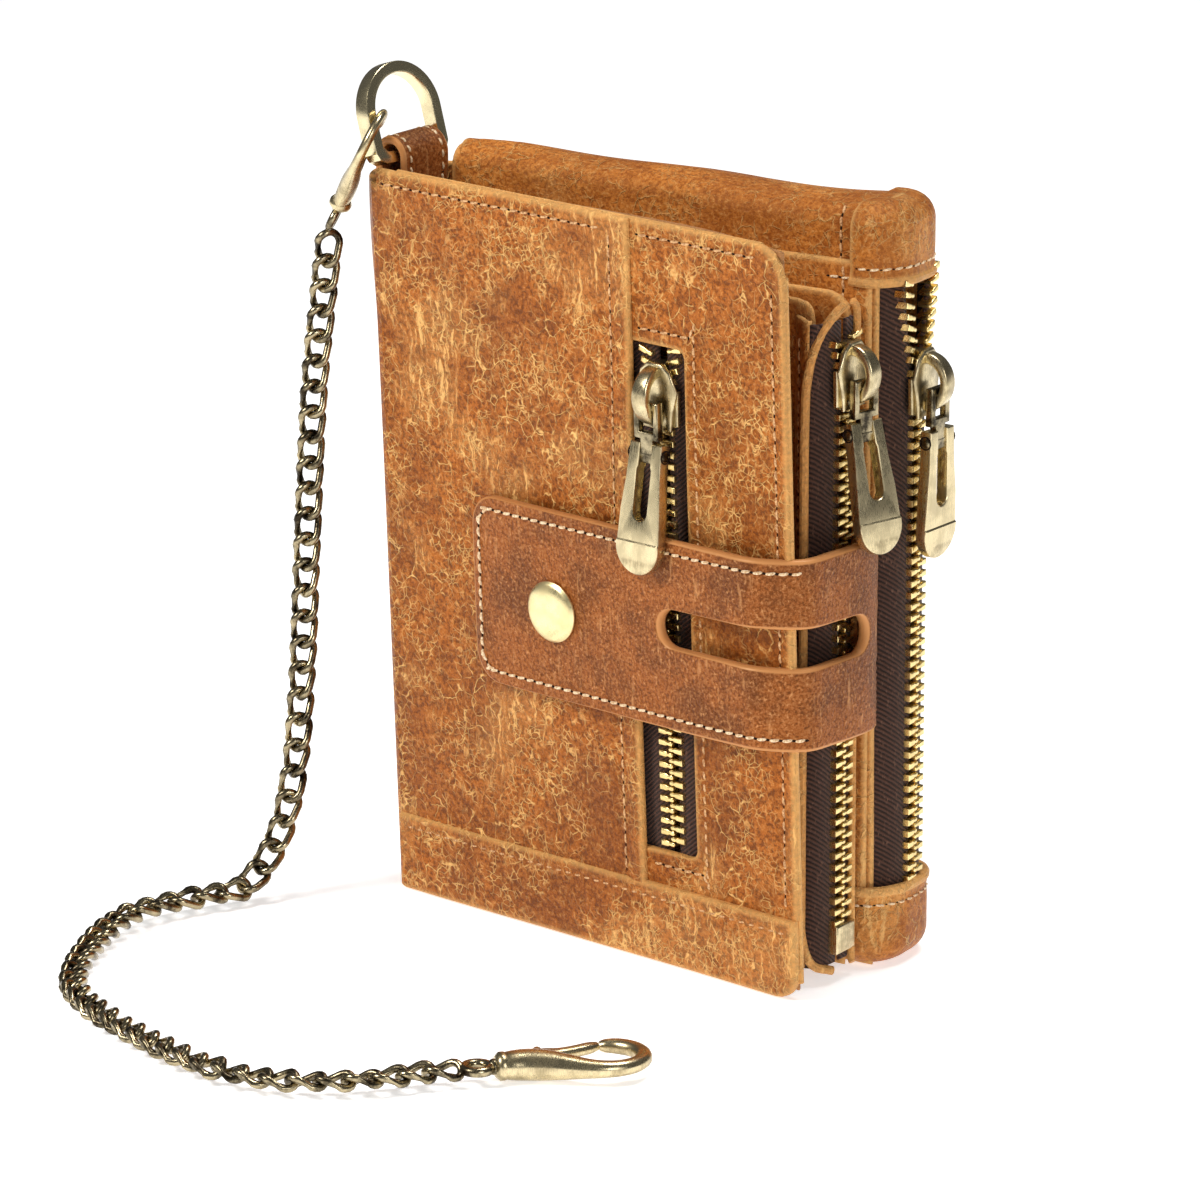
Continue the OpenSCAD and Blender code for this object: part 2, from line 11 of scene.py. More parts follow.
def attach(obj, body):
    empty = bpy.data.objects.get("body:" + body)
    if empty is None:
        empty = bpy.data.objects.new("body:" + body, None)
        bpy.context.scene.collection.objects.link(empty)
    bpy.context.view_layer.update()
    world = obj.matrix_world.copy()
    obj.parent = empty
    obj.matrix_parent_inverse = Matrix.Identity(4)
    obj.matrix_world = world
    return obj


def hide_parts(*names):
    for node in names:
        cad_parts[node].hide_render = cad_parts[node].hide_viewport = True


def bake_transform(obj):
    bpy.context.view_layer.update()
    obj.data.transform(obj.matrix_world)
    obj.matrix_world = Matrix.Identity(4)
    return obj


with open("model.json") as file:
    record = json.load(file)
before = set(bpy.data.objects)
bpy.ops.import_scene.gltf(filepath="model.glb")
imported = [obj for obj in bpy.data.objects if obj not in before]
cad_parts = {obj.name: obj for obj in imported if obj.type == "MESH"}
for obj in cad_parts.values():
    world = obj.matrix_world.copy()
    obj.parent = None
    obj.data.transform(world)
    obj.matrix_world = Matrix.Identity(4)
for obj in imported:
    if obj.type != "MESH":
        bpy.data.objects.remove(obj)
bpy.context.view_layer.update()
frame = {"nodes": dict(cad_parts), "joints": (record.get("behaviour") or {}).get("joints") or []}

# Leather chain wallet. Shapes are drawn in millimetres in the frames of the CAD model: x from the
# spine, y inwards, z up. A sheet of leather is a grid of points (a, b) laid on a surface.

MM = 0.001
JOINTS = {joint["name"]: joint for joint in frame["joints"]}
random.seed(7)


# ---- frames ------------------------------------------------------------------------------------

def frame_at(origin, x_axis, z_axis):
    x_axis = Vector(x_axis).normalized()
    z_axis = Vector(z_axis).normalized()
    y_axis = z_axis.cross(x_axis)
    result = Matrix((x_axis, y_axis, z_axis)).transposed().to_4x4()
    result.translation = Vector(origin)
    return result


def shifted(base, offset, turn=0.0, axis="Z"):
    """base moved by offset in mm, then turned by turn degrees."""
    move = Matrix.Translation(Vector(offset) * MM)
    return base @ move @ Matrix.Rotation(math.radians(turn), 4, axis)


def place_of(joint, base):
    """Where a joint's axis passes, in mm in the frame base."""
    return (base.inverted() @ Vector(JOINTS[joint]["pos_m"])) / MM


PAGE_ANGLE = 4.6
LINK_OUT = 4.0
LINK_DROP = 1.3

# PLACED is at the foot of the spine's fold, and the page turns about a line 3 mm right and 4.2 mm behind it
PLACED = shifted(Matrix.Translation(Vector(JOINTS["page_turn"]["pos_m"])), (-3, -4.2, 0))
COVER = frame_at(PLACED.translation, -Vector(JOINTS["front_link_swing"]["axis"]),
                 JOINTS["front_zip_run"]["axis"])
PAGE = shifted(Matrix.Translation(Vector(JOINTS["page_turn"]["pos_m"])), (0, 0, 0), -PAGE_ANGLE)

front_link = place_of("front_link_swing", COVER)
page_link = place_of("page_link_swing", PAGE)
back_link = place_of("back_link_swing", PLACED)
FRONT_ZIP = shifted(COVER, (front_link.x, front_link.y + LINK_OUT, 0))
PAGE_ZIP = shifted(PAGE, (page_link.x - LINK_OUT, page_link.y, 0), 90)
BACK_ZIP = shifted(PLACED, (back_link.x - LINK_OUT, back_link.y, 0), 90)


# ---- camera, floor and light -------------------------------------------------------------------

VIEW_AZIMUTH = math.radians(29.5)
VIEW_ELEVATION = math.radians(15.6)
VIEW_DISTANCE = 1.152
VIEW_TARGET = PLACED @ Vector((0.03195, 0.0108, 0.0518))


def add_camera():
    away = Vector((math.sin(VIEW_AZIMUTH) * math.cos(VIEW_ELEVATION),
                   -math.cos(VIEW_AZIMUTH) * math.cos(VIEW_ELEVATION), math.sin(VIEW_ELEVATION)))
    data = bpy.data.cameras.new("camera")
    data.lens = 210
    data.sensor_width = 36
    data.clip_end = 50
    camera = bpy.data.objects.new("camera", data)
    bpy.context.scene.collection.objects.link(camera)
    camera.location = VIEW_TARGET + away * VIEW_DISTANCE
    camera.rotation_euler = away.to_track_quat("Z", "Y").to_euler()
    bpy.context.scene.camera = camera


def add_area_light(name, place, size, power, colour=(1, 1, 1)):
    data = bpy.data.lights.new(name, "AREA")
    data.shape = "DISK"
    data.size = size
    data.energy = power
    data.color = colour
    light = bpy.data.objects.new(name, data)
    bpy.context.scene.collection.objects.link(light)
    light.location = place
    light.rotation_euler = (Vector(place) - VIEW_TARGET).to_track_quat("Z", "Y").to_euler()


def add_floor():
    mesh = bpy.data.meshes.new("floor")
    mesh.from_pydata([(-6, -6, 0), (6, -6, 0), (6, 6, 0), (-6, 6, 0)], [], [(0, 1, 2, 3)])
    floor = bpy.data.objects.new("floor", mesh)
    bpy.context.scene.collection.objects.link(floor)
    material = bpy.data.materials.new("white_floor")
    material.use_nodes = True
    shader = material.node_tree.nodes["Principled BSDF"]
    shader.inputs["Base Color"].default_value = (0.93, 0.93, 0.93, 1)
    shader.inputs["Roughness"].default_value = 0.7
    shader.inputs["Specular IOR Level"].default_value = 0.15
    shader.inputs["Emission Color"].default_value = (1, 1, 1, 1)
    shader.inputs["Emission Strength"].default_value = 0.55
    mesh.materials.append(material)


def add_world():
    bpy.context.scene.view_settings.view_transform = "Standard"
    world = bpy.data.worlds.new("studio")
    bpy.context.scene.world = world
    world.use_nodes = True
    background = world.node_tree.nodes["Background"]
    background.inputs["Color"].default_value = (0.95, 0.97, 1.0, 1)
    background.inputs["Strength"].default_value = 0.10


add_camera()
add_floor()
add_world()
add_area_light("key", (-0.55, -0.75, 0.85), 0.42, 10.5, (1.0, 0.98, 0.95))
add_area_light("fill", (1.0, -0.7, 0.45), 0.5, 4.2, (0.97, 0.98, 1.0))
add_area_light("top", (0.15, 0.25, 1.0), 0.4, 6)


# ---- material nodes ----------------------------------------------------------------------------

class Nodes:
    """A material and short ways to add its nodes. Lengths in its textures are millimetres."""

    def __init__(self, name):
        self.material = bpy.data.materials.new(name)
        self.material.use_nodes = True
        self.tree = self.material.node_tree
        self.shader = self.tree.nodes["Principled BSDF"]
        place = self.add("ShaderNodeTexCoord").outputs["Object"]
        self.millimetres = self.vector("SCALE", place, scale=1000.0)

    def add(self, kind, **settings):
        node = self.tree.nodes.new(kind)
        for key, value in settings.items():
            setattr(node, key, value)
        return node

    def put(self, socket, value):
        if isinstance(value, bpy.types.NodeSocket):
            self.tree.links.new(value, socket)
        elif isinstance(value, tuple) and len(value) == 3 and socket.type == "RGBA":
            socket.default_value = (*value, 1)
        else:
            socket.default_value = value

    def vector(self, operation, first, second=None, scale=None):
        node = self.add("ShaderNodeVectorMath", operation=operation)
        self.put(node.inputs[0], first)
        if second is not None:
            self.put(node.inputs[1], second)
        if scale is not None:
            self.put(node.inputs["Scale"], scale)
        return node.outputs[0]

    def maths(self, operation, first, second=0.0, clamp=False):
        node = self.add("ShaderNodeMath", operation=operation, use_clamp=clamp)
        self.put(node.inputs[0], first)
        self.put(node.inputs[1], second)
        return node.outputs[0]

    def stretched(self, turn=(0, 0, 0), scale=(1, 1, 1), source=None):
        node = self.add("ShaderNodeMapping")
        self.put(node.inputs["Vector"], source or self.millimetres)
        node.inputs["Rotation"].default_value = [math.radians(t) for t in turn]
        node.inputs["Scale"].default_value = scale
        return node.outputs[0]

    def noise(self, size, detail=3.0, rough=0.55, source=None, colour=False):
        node = self.add("ShaderNodeTexNoise")
        self.put(node.inputs["Vector"], source or self.millimetres)
        node.inputs["Scale"].default_value = 1.0 / size
        node.inputs["Detail"].default_value = detail
        node.inputs["Roughness"].default_value = rough
        return node.outputs["Color" if colour else "Fac"]

    def cells(self, size, source=None, feature="DISTANCE_TO_EDGE"):
        node = self.add("ShaderNodeTexVoronoi", feature=feature)
        self.put(node.inputs["Vector"], source or self.millimetres)
        node.inputs["Scale"].default_value = 1.0 / size
        return node.outputs["Distance"]

    def waves(self, size, source=None, distortion=0.0):
        node = self.add("ShaderNodeTexWave", bands_direction="Z")
        self.put(node.inputs["Vector"], source or self.millimetres)
        node.inputs["Scale"].default_value = math.pi / 10 / size
        node.inputs["Distortion"].default_value = distortion
        return node.outputs["Fac"]

    def between(self, value, low, high, out_low=0.0, out_high=1.0):
        node = self.add("ShaderNodeMapRange", interpolation_type="SMOOTHSTEP")
        self.put(node.inputs["Value"], value)
        node.inputs["From Min"].default_value = low
        node.inputs["From Max"].default_value = high
        node.inputs["To Min"].default_value = out_low
        node.inputs["To Max"].default_value = out_high
        return node.outputs["Result"]

    def mix(self, share, first, second):
        node = self.add("ShaderNodeMix", data_type="RGBA")
        self.put(node.inputs["Factor"], share)
        self.put(node.inputs["A"], first)
        self.put(node.inputs["B"], second)
        return node.outputs["Result"]

    def attribute(self, name):
        return self.add("ShaderNodeAttribute", attribute_name=name).outputs["Fac"]

    def bump(self, height, strength, depth, under=None):
        node = self.add("ShaderNodeBump")
        node.inputs["Strength"].default_value = strength
        node.inputs["Distance"].default_value = depth * MM
        self.put(node.inputs["Height"], height)
        if under is not None:
            self.put(node.inputs["Normal"], under)
        return node.outputs["Normal"]

    def set(self, **values):
        for key, value in values.items():
            self.put(self.shader.inputs[key.replace("_", " ")], value)
        return self.material


def distressed_leather(name, tone, deep, pale, vein_share=1.0, streak_share=1.0, turn=(0, 35, 13.5)):
    """Waxed leather: mottled browns, a net of pale cracks, and pale creases in one direction."""
    n = Nodes(name)
    shift = n.vector("SUBTRACT", n.noise(5, 3, colour=True), (0.5, 0.5, 0.5))
    warped = n.vector("ADD", n.millimetres, n.vector("SCALE", shift, scale=3.4))
    wide = n.between(n.cells(2.7, warped), 0.0, 0.055, 1, 0)
    narrow = n.between(n.cells(1.3, warped), 0.0, 0.10, 1, 0)
    wide_place = n.between(n.noise(15, 3), 0.42, 0.58)
    narrow_place = n.between(n.noise(10, 3, source=n.stretched((0, 0, 0), (1.1, 1, 1))), 0.42, 0.60)
    veins = n.maths("MAXIMUM", n.maths("MULTIPLY", wide, wide_place),
                    n.maths("MULTIPLY", narrow, n.maths("MULTIPLY", narrow_place, 0.8)))
    veins = n.maths("MULTIPLY", veins, n.between(n.noise(2.0, 2), 0.36, 0.60))
    fibres = n.noise(1.0, 6, 0.7, source=n.stretched(turn, (1.05, 1.0, 0.11), warped))
    rubbed = n.between(n.noise(24, 3, 0.6), 0.52, 0.64)
    streaks = n.maths("MULTIPLY", n.between(fibres, 0.53, 0.63), rubbed)
    mottle = n.noise(20, 6, 0.66)
    pores = n.noise(0.75, 4, 0.75)
    blots = n.noise(3.0, 4, 0.7, source=warped)
    middle = tuple(0.5 * (d + t) for d, t in zip(deep, tone))
    colour = n.mix(n.between(mottle, 0.34, 0.62), middle, tone)
    colour = n.mix(n.between(blots, 0.38, 0.56, 0.35, 0), colour, deep)
    colour = n.mix(n.between(pores, 0.40, 0.53, 0.8, 0), colour, deep)
    colour = n.mix(n.between(pores, 0.54, 0.68, 0, 0.25), colour, pale)
    colour = n.mix(n.maths("MULTIPLY", rubbed, 0.10), colour, pale)
    colour = n.mix(n.maths("MULTIPLY", streaks, 0.8 * streak_share), colour, pale)
    colour = n.mix(n.maths("MULTIPLY", veins, 0.98 * vein_share), colour, pale)
    rim = n.attribute("edge")
    colour = n.mix(n.maths("MULTIPLY", rim, 0.45), colour, pale)
    height = n.maths("ADD", n.maths("MULTIPLY", pores, 0.8), n.maths("MULTIPLY", veins, 0.6))
    height = n.maths("ADD", height, n.maths("MULTIPLY", blots, 0.8))
    soft = n.bump(n.noise(9, 2), 0.5, 0.7)
    rough = n.between(n.maths("ADD", mottle, n.maths("MULTIPLY", pores, 0.6)), 0.5, 1.1, 0.32, 0.56)
    return n.set(Base_Color=colour, Roughness=rough, Specular_IOR_Level=0.26, Specular_Tint=(1.0, 0.74, 0.46),
                 Normal=n.bump(height, 1.0, 0.34, soft))


def pebbled_leather(name, tone, deep, pale):
    """Finer, even leather: small raised pebbles with pale tops, and smooth painted edges."""
    n = Nodes(name)
    pebbles = n.cells(0.62, n.stretched((0, 0, 0), (1, 1, 0.8)), "SMOOTH_F1")
    grain = n.noise(0.5, 4, 0.7)
    mottle = n.noise(12, 5, 0.65)
    body = n.mix(n.between(mottle, 0.38, 0.60), deep, tone)
    body = n.mix(n.between(grain, 0.36, 0.50, 0.7, 0), body, tuple(0.45 * d for d in deep))
    tops = n.maths("MULTIPLY", n.between(grain, 0.46, 0.66), n.between(pebbles, 0.1, 0.5, 1, 0.35))
    scuffs = n.between(n.noise(1.0, 4, 0.6, source=n.stretched((0, 0, 0), (0.9, 0.9, 0.16))), 0.60, 0.70)
    colour = n.mix(n.maths("MULTIPLY", tops, 0.55), body, pale)
    colour = n.mix(n.maths("MULTIPLY", scuffs, 0.3), colour, pale)
    rim = n.between(n.attribute("edge"), 0.35, 0.75)
    colour = n.mix(rim, colour, tuple(0.5 * (t + p) for t, p in zip(tone, pale)))
    height = n.maths("MULTIPLY", n.maths("SUBTRACT", grain, n.maths("MULTIPLY", pebbles, 0.6)),
                     n.maths("SUBTRACT", 1.0, rim))
    return n.set(Base_Color=colour, Roughness=n.between(rim, 0, 1, 0.42, 0.32), Specular_IOR_Level=0.28,
                 Specular_Tint=(1.0, 0.76, 0.50), Normal=n.bump(height, 0.95, 0.2))


def twill(name, turn):
    """Woven tape: slanting ribs of dark thread with lighter flecks."""
    n = Nodes(name)
    ribs = n.waves(0.62, n.stretched(turn, (1, 1, 1)), 1.2)
    threads = n.noise(0.5, 3, 0.7, source=n.stretched((0, 0, 0), (1, 1, 0.45)))
    flecks = n.between(threads, 0.56, 0.70)
    colour = n.mix(ribs, (0.016, 0.007, 0.004), (0.085, 0.035, 0.020))
    colour = n.mix(n.maths("MULTIPLY", flecks, 0.55), colour, (0.21, 0.10, 0.06))
    height = n.maths("ADD", ribs, n.maths("MULTIPLY", threads, 0.8))
    return n.set(Base_Color=colour, Roughness=0.85, Specular_IOR_Level=0.25, Sheen_Weight=0.15,
                 Normal=n.bump(height, 0.9, 0.18))


def metal(name, bright, dark, rough, stain=0.5, brush=(1, 1, 0.05), brush_share=0.5):
    """Antique plated metal: dark stain left in patches, fine brush lines, rubbed bright areas."""
    n = Nodes(name)
    lines = n.noise(0.16, 3, 0.7, source=n.stretched((0, 0, 0), brush))
    patches = n.noise(3.2, 4, 0.6)
    share = n.maths("ADD", n.maths("MULTIPLY", n.between(patches, 0.35, 0.68), stain),
                    n.maths("MULTIPLY", n.between(lines, 0.45, 0.62), 0.35 * brush_share), clamp=True)
    rim = n.attribute("edge")
    colour = n.mix(share, bright, dark)
    colour = n.mix(n.maths("MULTIPLY", rim, 0.6), colour, bright)
    return n.set(Base_Color=colour, Metallic=1.0,
                 Roughness=n.between(n.maths("ADD", lines, patches), 0.7, 1.3, rough - 0.07, rough + 0.12),
                 Normal=n.bump(lines, 0.35 * brush_share, 0.05))


def thread(name, colour, dark):
    n = Nodes(name)
    twist = n.noise(0.35, 2)
    return n.set(Base_Color=n.mix(n.between(twist, 0.35, 0.65), dark, colour), Roughness=0.7,
                 Normal=n.bump(twist, 0.5, 0.08))


# Painted shade: a near-black colour standing in for the shade inside the needle holes and in the gap round
# the ends of the tab's pin.
def painted_hole_shade(name):
    n = Nodes(name)
    return n.set(Base_Color=n.mix(n.noise(0.4), (0.006, 0.003, 0.002), (0.03, 0.014, 0.008)),
                 Roughness=0.9, Specular_IOR_Level=0.1)


TAN = distressed_leather("tan_cracked_leather", (0.46, 0.128, 0.017), (0.12, 0.026, 0.003),
                         (0.97, 0.56, 0.19))
TAN_PLAIN = distressed_leather("tan_worn_leather", (0.60, 0.205, 0.034), (0.25, 0.062, 0.009),
                               (0.97, 0.60, 0.22), 0.5, 0.6, (0, 70, 0))
INNER = distressed_leather("inner_leather", (0.32, 0.10, 0.026), (0.11, 0.030, 0.008),
                           (0.62, 0.32, 0.13), 0.35, 0.3)
STRAP = pebbled_leather("strap_pebbled_leather", (0.31, 0.082, 0.013), (0.17, 0.042, 0.007),
                        (0.84, 0.42, 0.16))
TAPE = twill("brown_twill", (0, 40, 0))
TAPE_SIDE = twill("brown_twill_side", (40, 0, 0))
GOLD = metal("tooth_gold", (0.95, 0.74, 0.33), (0.45, 0.29, 0.08), 0.25, 0.25, (1, 1, 1), 0.2)
BRASS = metal("antique_brass", (0.72, 0.60, 0.36), (0.16, 0.115, 0.055), 0.26, 0.55)
BRASS_DARK = metal("dark_brass", (0.46, 0.38, 0.23), (0.022, 0.016, 0.010), 0.24, 0.95, (1, 1, 1), 0.4)
RING_METAL = metal("ring_brass", (0.86, 0.74, 0.46), (0.10, 0.072, 0.030), 0.20, 0.55, (1, 1, 1), 0.5)
SNAP = metal("snap_brass", (0.92, 0.78, 0.42), (0.58, 0.42, 0.16), 0.30, 0.25, (1, 1, 1), 0.3)
CREAM = thread("cream_thread", (0.95, 0.76, 0.50), (0.60, 0.36, 0.17))
TAN_THREAD = thread("tan_thread", (0.80, 0.48, 0.22), (0.42, 0.19, 0.07))
HOLE_SHADE = painted_hole_shade("needle_hole_shade")


# ---- meshes ------------------------------------------------------------------------------------

def to_row(points, base):
    """Points in mm in the frame base, as metres in the row frame."""
    turn = np.array(base)
    return np.asarray(points, float) * MM @ turn[:3, :3].T + turn[:3, 3]


def add_mesh(name, points, faces, base, material, body, nodes=(), edge=None, crease=35, ride=True):
    mesh = bpy.data.meshes.new(name)
    mesh.from_pydata(to_row(points, base).tolist(), [], faces)
    mesh.polygons.foreach_set("use_smooth", [True] * len(mesh.polygons))
    mesh.set_sharp_from_angle(angle=math.radians(crease))
    mesh.materials.append(material)
    if edge is not None:
        mesh.attributes.new("edge", "FLOAT", "POINT").data.foreach_set("value", np.asarray(edge, np.float32))
    obj = bpy.data.objects.new(name, mesh)
    bpy.context.scene.collection.objects.link(obj)
    if ride:
        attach(obj, body)
    if nodes:
        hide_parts(*nodes)
    return obj


def smoothstep(low, high, value):
    t = np.clip((np.asarray(value, float) - low) / (high - low), 0, 1)
    return t * t * (3 - 2 * t)


def lines(low, high, step, edges=(0.1, 0.3, 0.6, 1.1)):
    """Grid lines from low to high, closer together near both ends."""
    inner_low = low + edges[-1]
    inner_high = high - edges[-1]
    count = max(int(round((inner_high - inner_low) / step)), 1)
    middle = np.linspace(inner_low, inner_high, count + 1)
    first = [low] + [low + e for e in edges[:-1]]
    last = [high - e for e in reversed(edges[:-1])] + [high]
    return np.array(first + list(middle) + last)


class Path:
    """A smooth curve through points, measured by its length."""

    def __init__(self, points, steps=12):
        p = np.asarray(points, float)
        ends = np.vstack([2 * p[0] - p[1], p, 2 * p[-1] - p[-2]])
        t = np.linspace(0, 1, steps, endpoint=False)[:, None]
        rows = []
        for i in range(len(p) - 1):
            a, b, c, d = ends[i:i + 4]
            rows.append(0.5 * (2 * b + (c - a) * t + (2 * a - 5 * b + 4 * c - d) * t ** 2
                               + (3 * b - a - 3 * c + d) * t ** 3))
        self.points = np.vstack(rows + [p[-1:]])
        gaps = np.linalg.norm(np.diff(self.points, axis=0), axis=1)
        self.along = np.concatenate([[0], np.cumsum(gaps)])
        self.length = self.along[-1]

    def at(self, s):
        return np.stack([np.interp(s, self.along, column) for column in self.points.T], -1)

    def direction(self, s, reach=0.15):
        d = self.at(np.minimum(s + reach, self.length)) - self.at(np.maximum(s - reach, 0))
        return d / np.linalg.norm(d, axis=-1, keepdims=True)


def as_floats(a, b):
    return np.asarray(a, float), np.asarray(b, float)


def wobble(a, b, size=0.25, seed=0.0):
    """Slow waves that keep a sheet of leather from lying perfectly flat."""
    return size * (np.sin(a / 11.0 + seed) * np.cos(b / 17.0 + 1.3 * seed)
                   + 0.6 * np.sin(a / 6.1 - b / 9.3 + 2.1 * seed))


def wall_surface(plan, swell=0.0, seed=0.0):
    """An upright surface over a plan curve: a runs along the curve, b is the height. Its outer side is
    on the right of the curve's direction."""
    def surface(a, b):
        spot = plan.at(a)
        way = plan.direction(a)
        out = np.stack([way[..., 1], -way[..., 0]], -1)
        spot = spot + out * wobble(a, b, swell, seed)[..., None]
        return (np.concatenate([spot, b[..., None]], -1),
                np.concatenate([out, np.zeros_like(b)[..., None]], -1))
    return surface


def grid_faces(rows, columns, closed, flip):
    faces = []
    for i in range(rows if closed else rows - 1):
        for j in range(columns - 1):
            k = (i + 1) % rows
            quad = (i * columns + j, i * columns + j + 1, k * columns + j + 1, k * columns + j)
            faces.append(quad[::-1] if flip else quad)
    return faces


def border(rows, columns, closed):
    """Pairs of neighbouring points round the grid's outline, in order."""
    if closed:
        inner = [(i * columns, (i + 1) % rows * columns) for i in range(rows)]
        outer = [((i + 1) % rows * columns + columns - 1, i * columns + columns - 1) for i in range(rows)]
        return inner + outer
    ring = [j for j in range(columns)]
    ring += [i * columns + columns - 1 for i in range(1, rows)]
    ring += [(rows - 1) * columns + j for j in range(columns - 2, -1, -1)]
    ring += [i * columns for i in range(rows - 2, 0, -1)]
    return list(zip(ring, ring[1:] + ring[:1]))


def add_sheet(name, base, a, b, inside, surface, thick, material, body, nodes=(), round_r=0.6,
              closed=False, ride=True, rim_width=1.3):
    """A sheet with rounded edges: a, b and inside (distance from the outline) are grids of one shape."""
    spot, out = surface(a, b)
    r = min(round_r, thick / 2)
    short = r - np.minimum(inside, r)
    fall = r - np.sqrt(np.maximum(r * r - short * short, 0))
    front = spot - out * fall[..., None]
    back = spot - out * (thick - fall)[..., None]
    rows, columns = a.shape
    size = rows * columns
    way_a = front[1, 1] - front[0, 1]
    way_b = front[1, 1] - front[1, 0]
    flip = float(np.dot(np.cross(way_b, way_a), out[1, 1])) < 0
    faces = grid_faces(rows, columns, closed, flip)
    faces += [tuple(size + v for v in reversed(f)) for f in faces]
    for i, j in border(rows, columns, closed):
        quad = (j, i, size + i, size + j)
        faces.append(quad[::-1] if flip else quad)
    points = np.concatenate([front.reshape(-1, 3), back.reshape(-1, 3)])
    rim = 1 - smoothstep(0.1, rim_width, inside.reshape(-1))
    return add_mesh(name, points, faces, base, material, body, nodes,
                    edge=np.concatenate([rim, rim]), crease=50, ride=ride)


def box_grid(a_range, b_range, step=2.5, open_sides=()):
    """A grid over a rectangle and its distance from the outline, leaving out the sides named open."""
    low_a, high_a = a_range
    low_b, high_b = b_range
    a, b = np.meshgrid(lines(low_a, high_a, step), lines(low_b, high_b, step), indexing="ij")
    far = {"left": a - low_a, "right": high_a - a, "bottom": b - low_b, "top": high_b - b}
    inside = np.full(a.shape, 99.0)
    for side, distance in far.items():
        if side not in open_sides:
            inside = np.minimum(inside, distance)
    return a, b, inside


def round_corners(a, b, inside, corners):
    """Pulls a grid in at rounded corners, each given as ((corner a, corner b), radius)."""
    a, b = a.copy(), b.copy()
    for (ca, cb), r in corners:
        side_a = math.copysign(1, ca - a.mean())
        side_b = math.copysign(1, cb - b.mean())
        dx = (a - (ca - side_a * r)) * side_a
        dy = (b - (cb - side_b * r)) * side_b
        zone = (dx > 0) & (dy > 0)
        x, y = np.where(zone, dx, 1) / r, np.where(zone, dy, 1) / r
        nx = x * np.sqrt(np.maximum(1 - y * y / 2, 0))
        ny = y * np.sqrt(np.maximum(1 - x * x / 2, 0))
        a = np.where(zone, ca - side_a * r + side_a * nx * r, a)
        b = np.where(zone, cb - side_b * r + side_b * ny * r, b)
        inside = np.where(zone, np.minimum(inside, r - r * np.hypot(nx, ny)), inside)
    return a, b, inside


def add_wall(name, base, plan, heights, step, thick, material, body, nodes, round_r, swell=0.0, seed=0.0,
             corners=()):
    """An upright sheet over a plan curve. corners are ((a, b), radius) to round. Returns its surface."""
    a, b, inside = box_grid((0, plan.length), heights, step)
    if corners:
        a, b, inside = round_corners(a, b, inside, corners)
    surface = wall_surface(plan, swell, seed)
    add_sheet(name, base, a, b, inside, surface, thick, material, body, nodes, round_r)
    return surface


def add_bead(name, base, route, radius, sides, count, body, edge):
    """A soft round bead of leather along a route."""
    path = Path(route)
    points, faces = tube(path.at(np.linspace(0, path.length, count)), radius, sides)
    add_mesh(name, points, faces, base, TAN_PLAIN, body, edge=np.full(len(points), edge))


def arc(centre, r, start, end, count):
    angles = np.radians(np.linspace(start, end, count))
    return np.stack([centre[0] + r * np.cos(angles), centre[1] + r * np.sin(angles)], -1)


def line(start, end, count):
    t = np.linspace(0, 1, count)[:, None]
    return np.asarray(start, float) * (1 - t) + np.asarray(end, float) * t


def strip_line(gap, steps, edges):
    """Distances across a strip, closer together near both of its edges."""
    middle = np.linspace(edges[-1], gap - edges[-1], steps)
    return np.concatenate([[0], edges[:-1], middle, gap - np.array(edges[-2::-1]), [gap]])


def strip_grid(inner, outer, steps, edges=(0.1, 0.3, 0.6, 1.1)):
    """A grid between two outlines with the same number of points, and its distance from both."""
    gap = np.linalg.norm(outer - inner, axis=1)
    shape = np.array([strip_line(g, steps, edges) for g in gap])
    t = shape / gap[:, None]
    grid = inner[:, None] * (1 - t[..., None]) + outer[:, None] * t[..., None]
    return grid[..., 0], grid[..., 1], np.minimum(shape, gap[:, None] - shape)


def tube(path, radius, sides=8, closed=False):
    """Points and faces of a tube along a list of points. radius is one number or one for each point."""
    path = np.asarray(path, float)
    count = len(path)
    radius = np.broadcast_to(radius, (count,))
    if closed:
        way = np.roll(path, -1, 0) - np.roll(path, 1, 0)
    else:
        way = np.gradient(path, axis=0)
    way = way / np.linalg.norm(way, axis=1, keepdims=True)
    side = np.cross(way[0], [0.31, 0.2, 0.93])
    rings = []
    for i in range(count):
        side = side - way[i] * np.dot(side, way[i])
        side = side / np.linalg.norm(side)
        rise = np.cross(way[i], side)
        turn = np.linspace(0, 2 * np.pi, sides, endpoint=False)[:, None]
        rings.append(path[i] + radius[i] * (np.cos(turn) * side + np.sin(turn) * rise))
    points = np.concatenate(rings)
    faces = []
    for i in range(count if closed else count - 1):
        k = (i + 1) % count
        for j in range(sides):
            m = (j + 1) % sides
            faces.append((i * sides + j, i * sides + m, k * sides + m, k * sides + j))
    if not closed:
        faces.append(tuple(range(sides - 1, -1, -1)))
        faces.append(tuple((count - 1) * sides + j for j in range(sides)))
    return points, faces


def joined(parts):
    """One list of points and faces from several."""
    points, faces, start = [], [], 0
    for p, f in parts:
        points.append(p)
        faces += [tuple(v + start for v in face) for face in f]
        start += len(p)
    return np.concatenate(points), faces


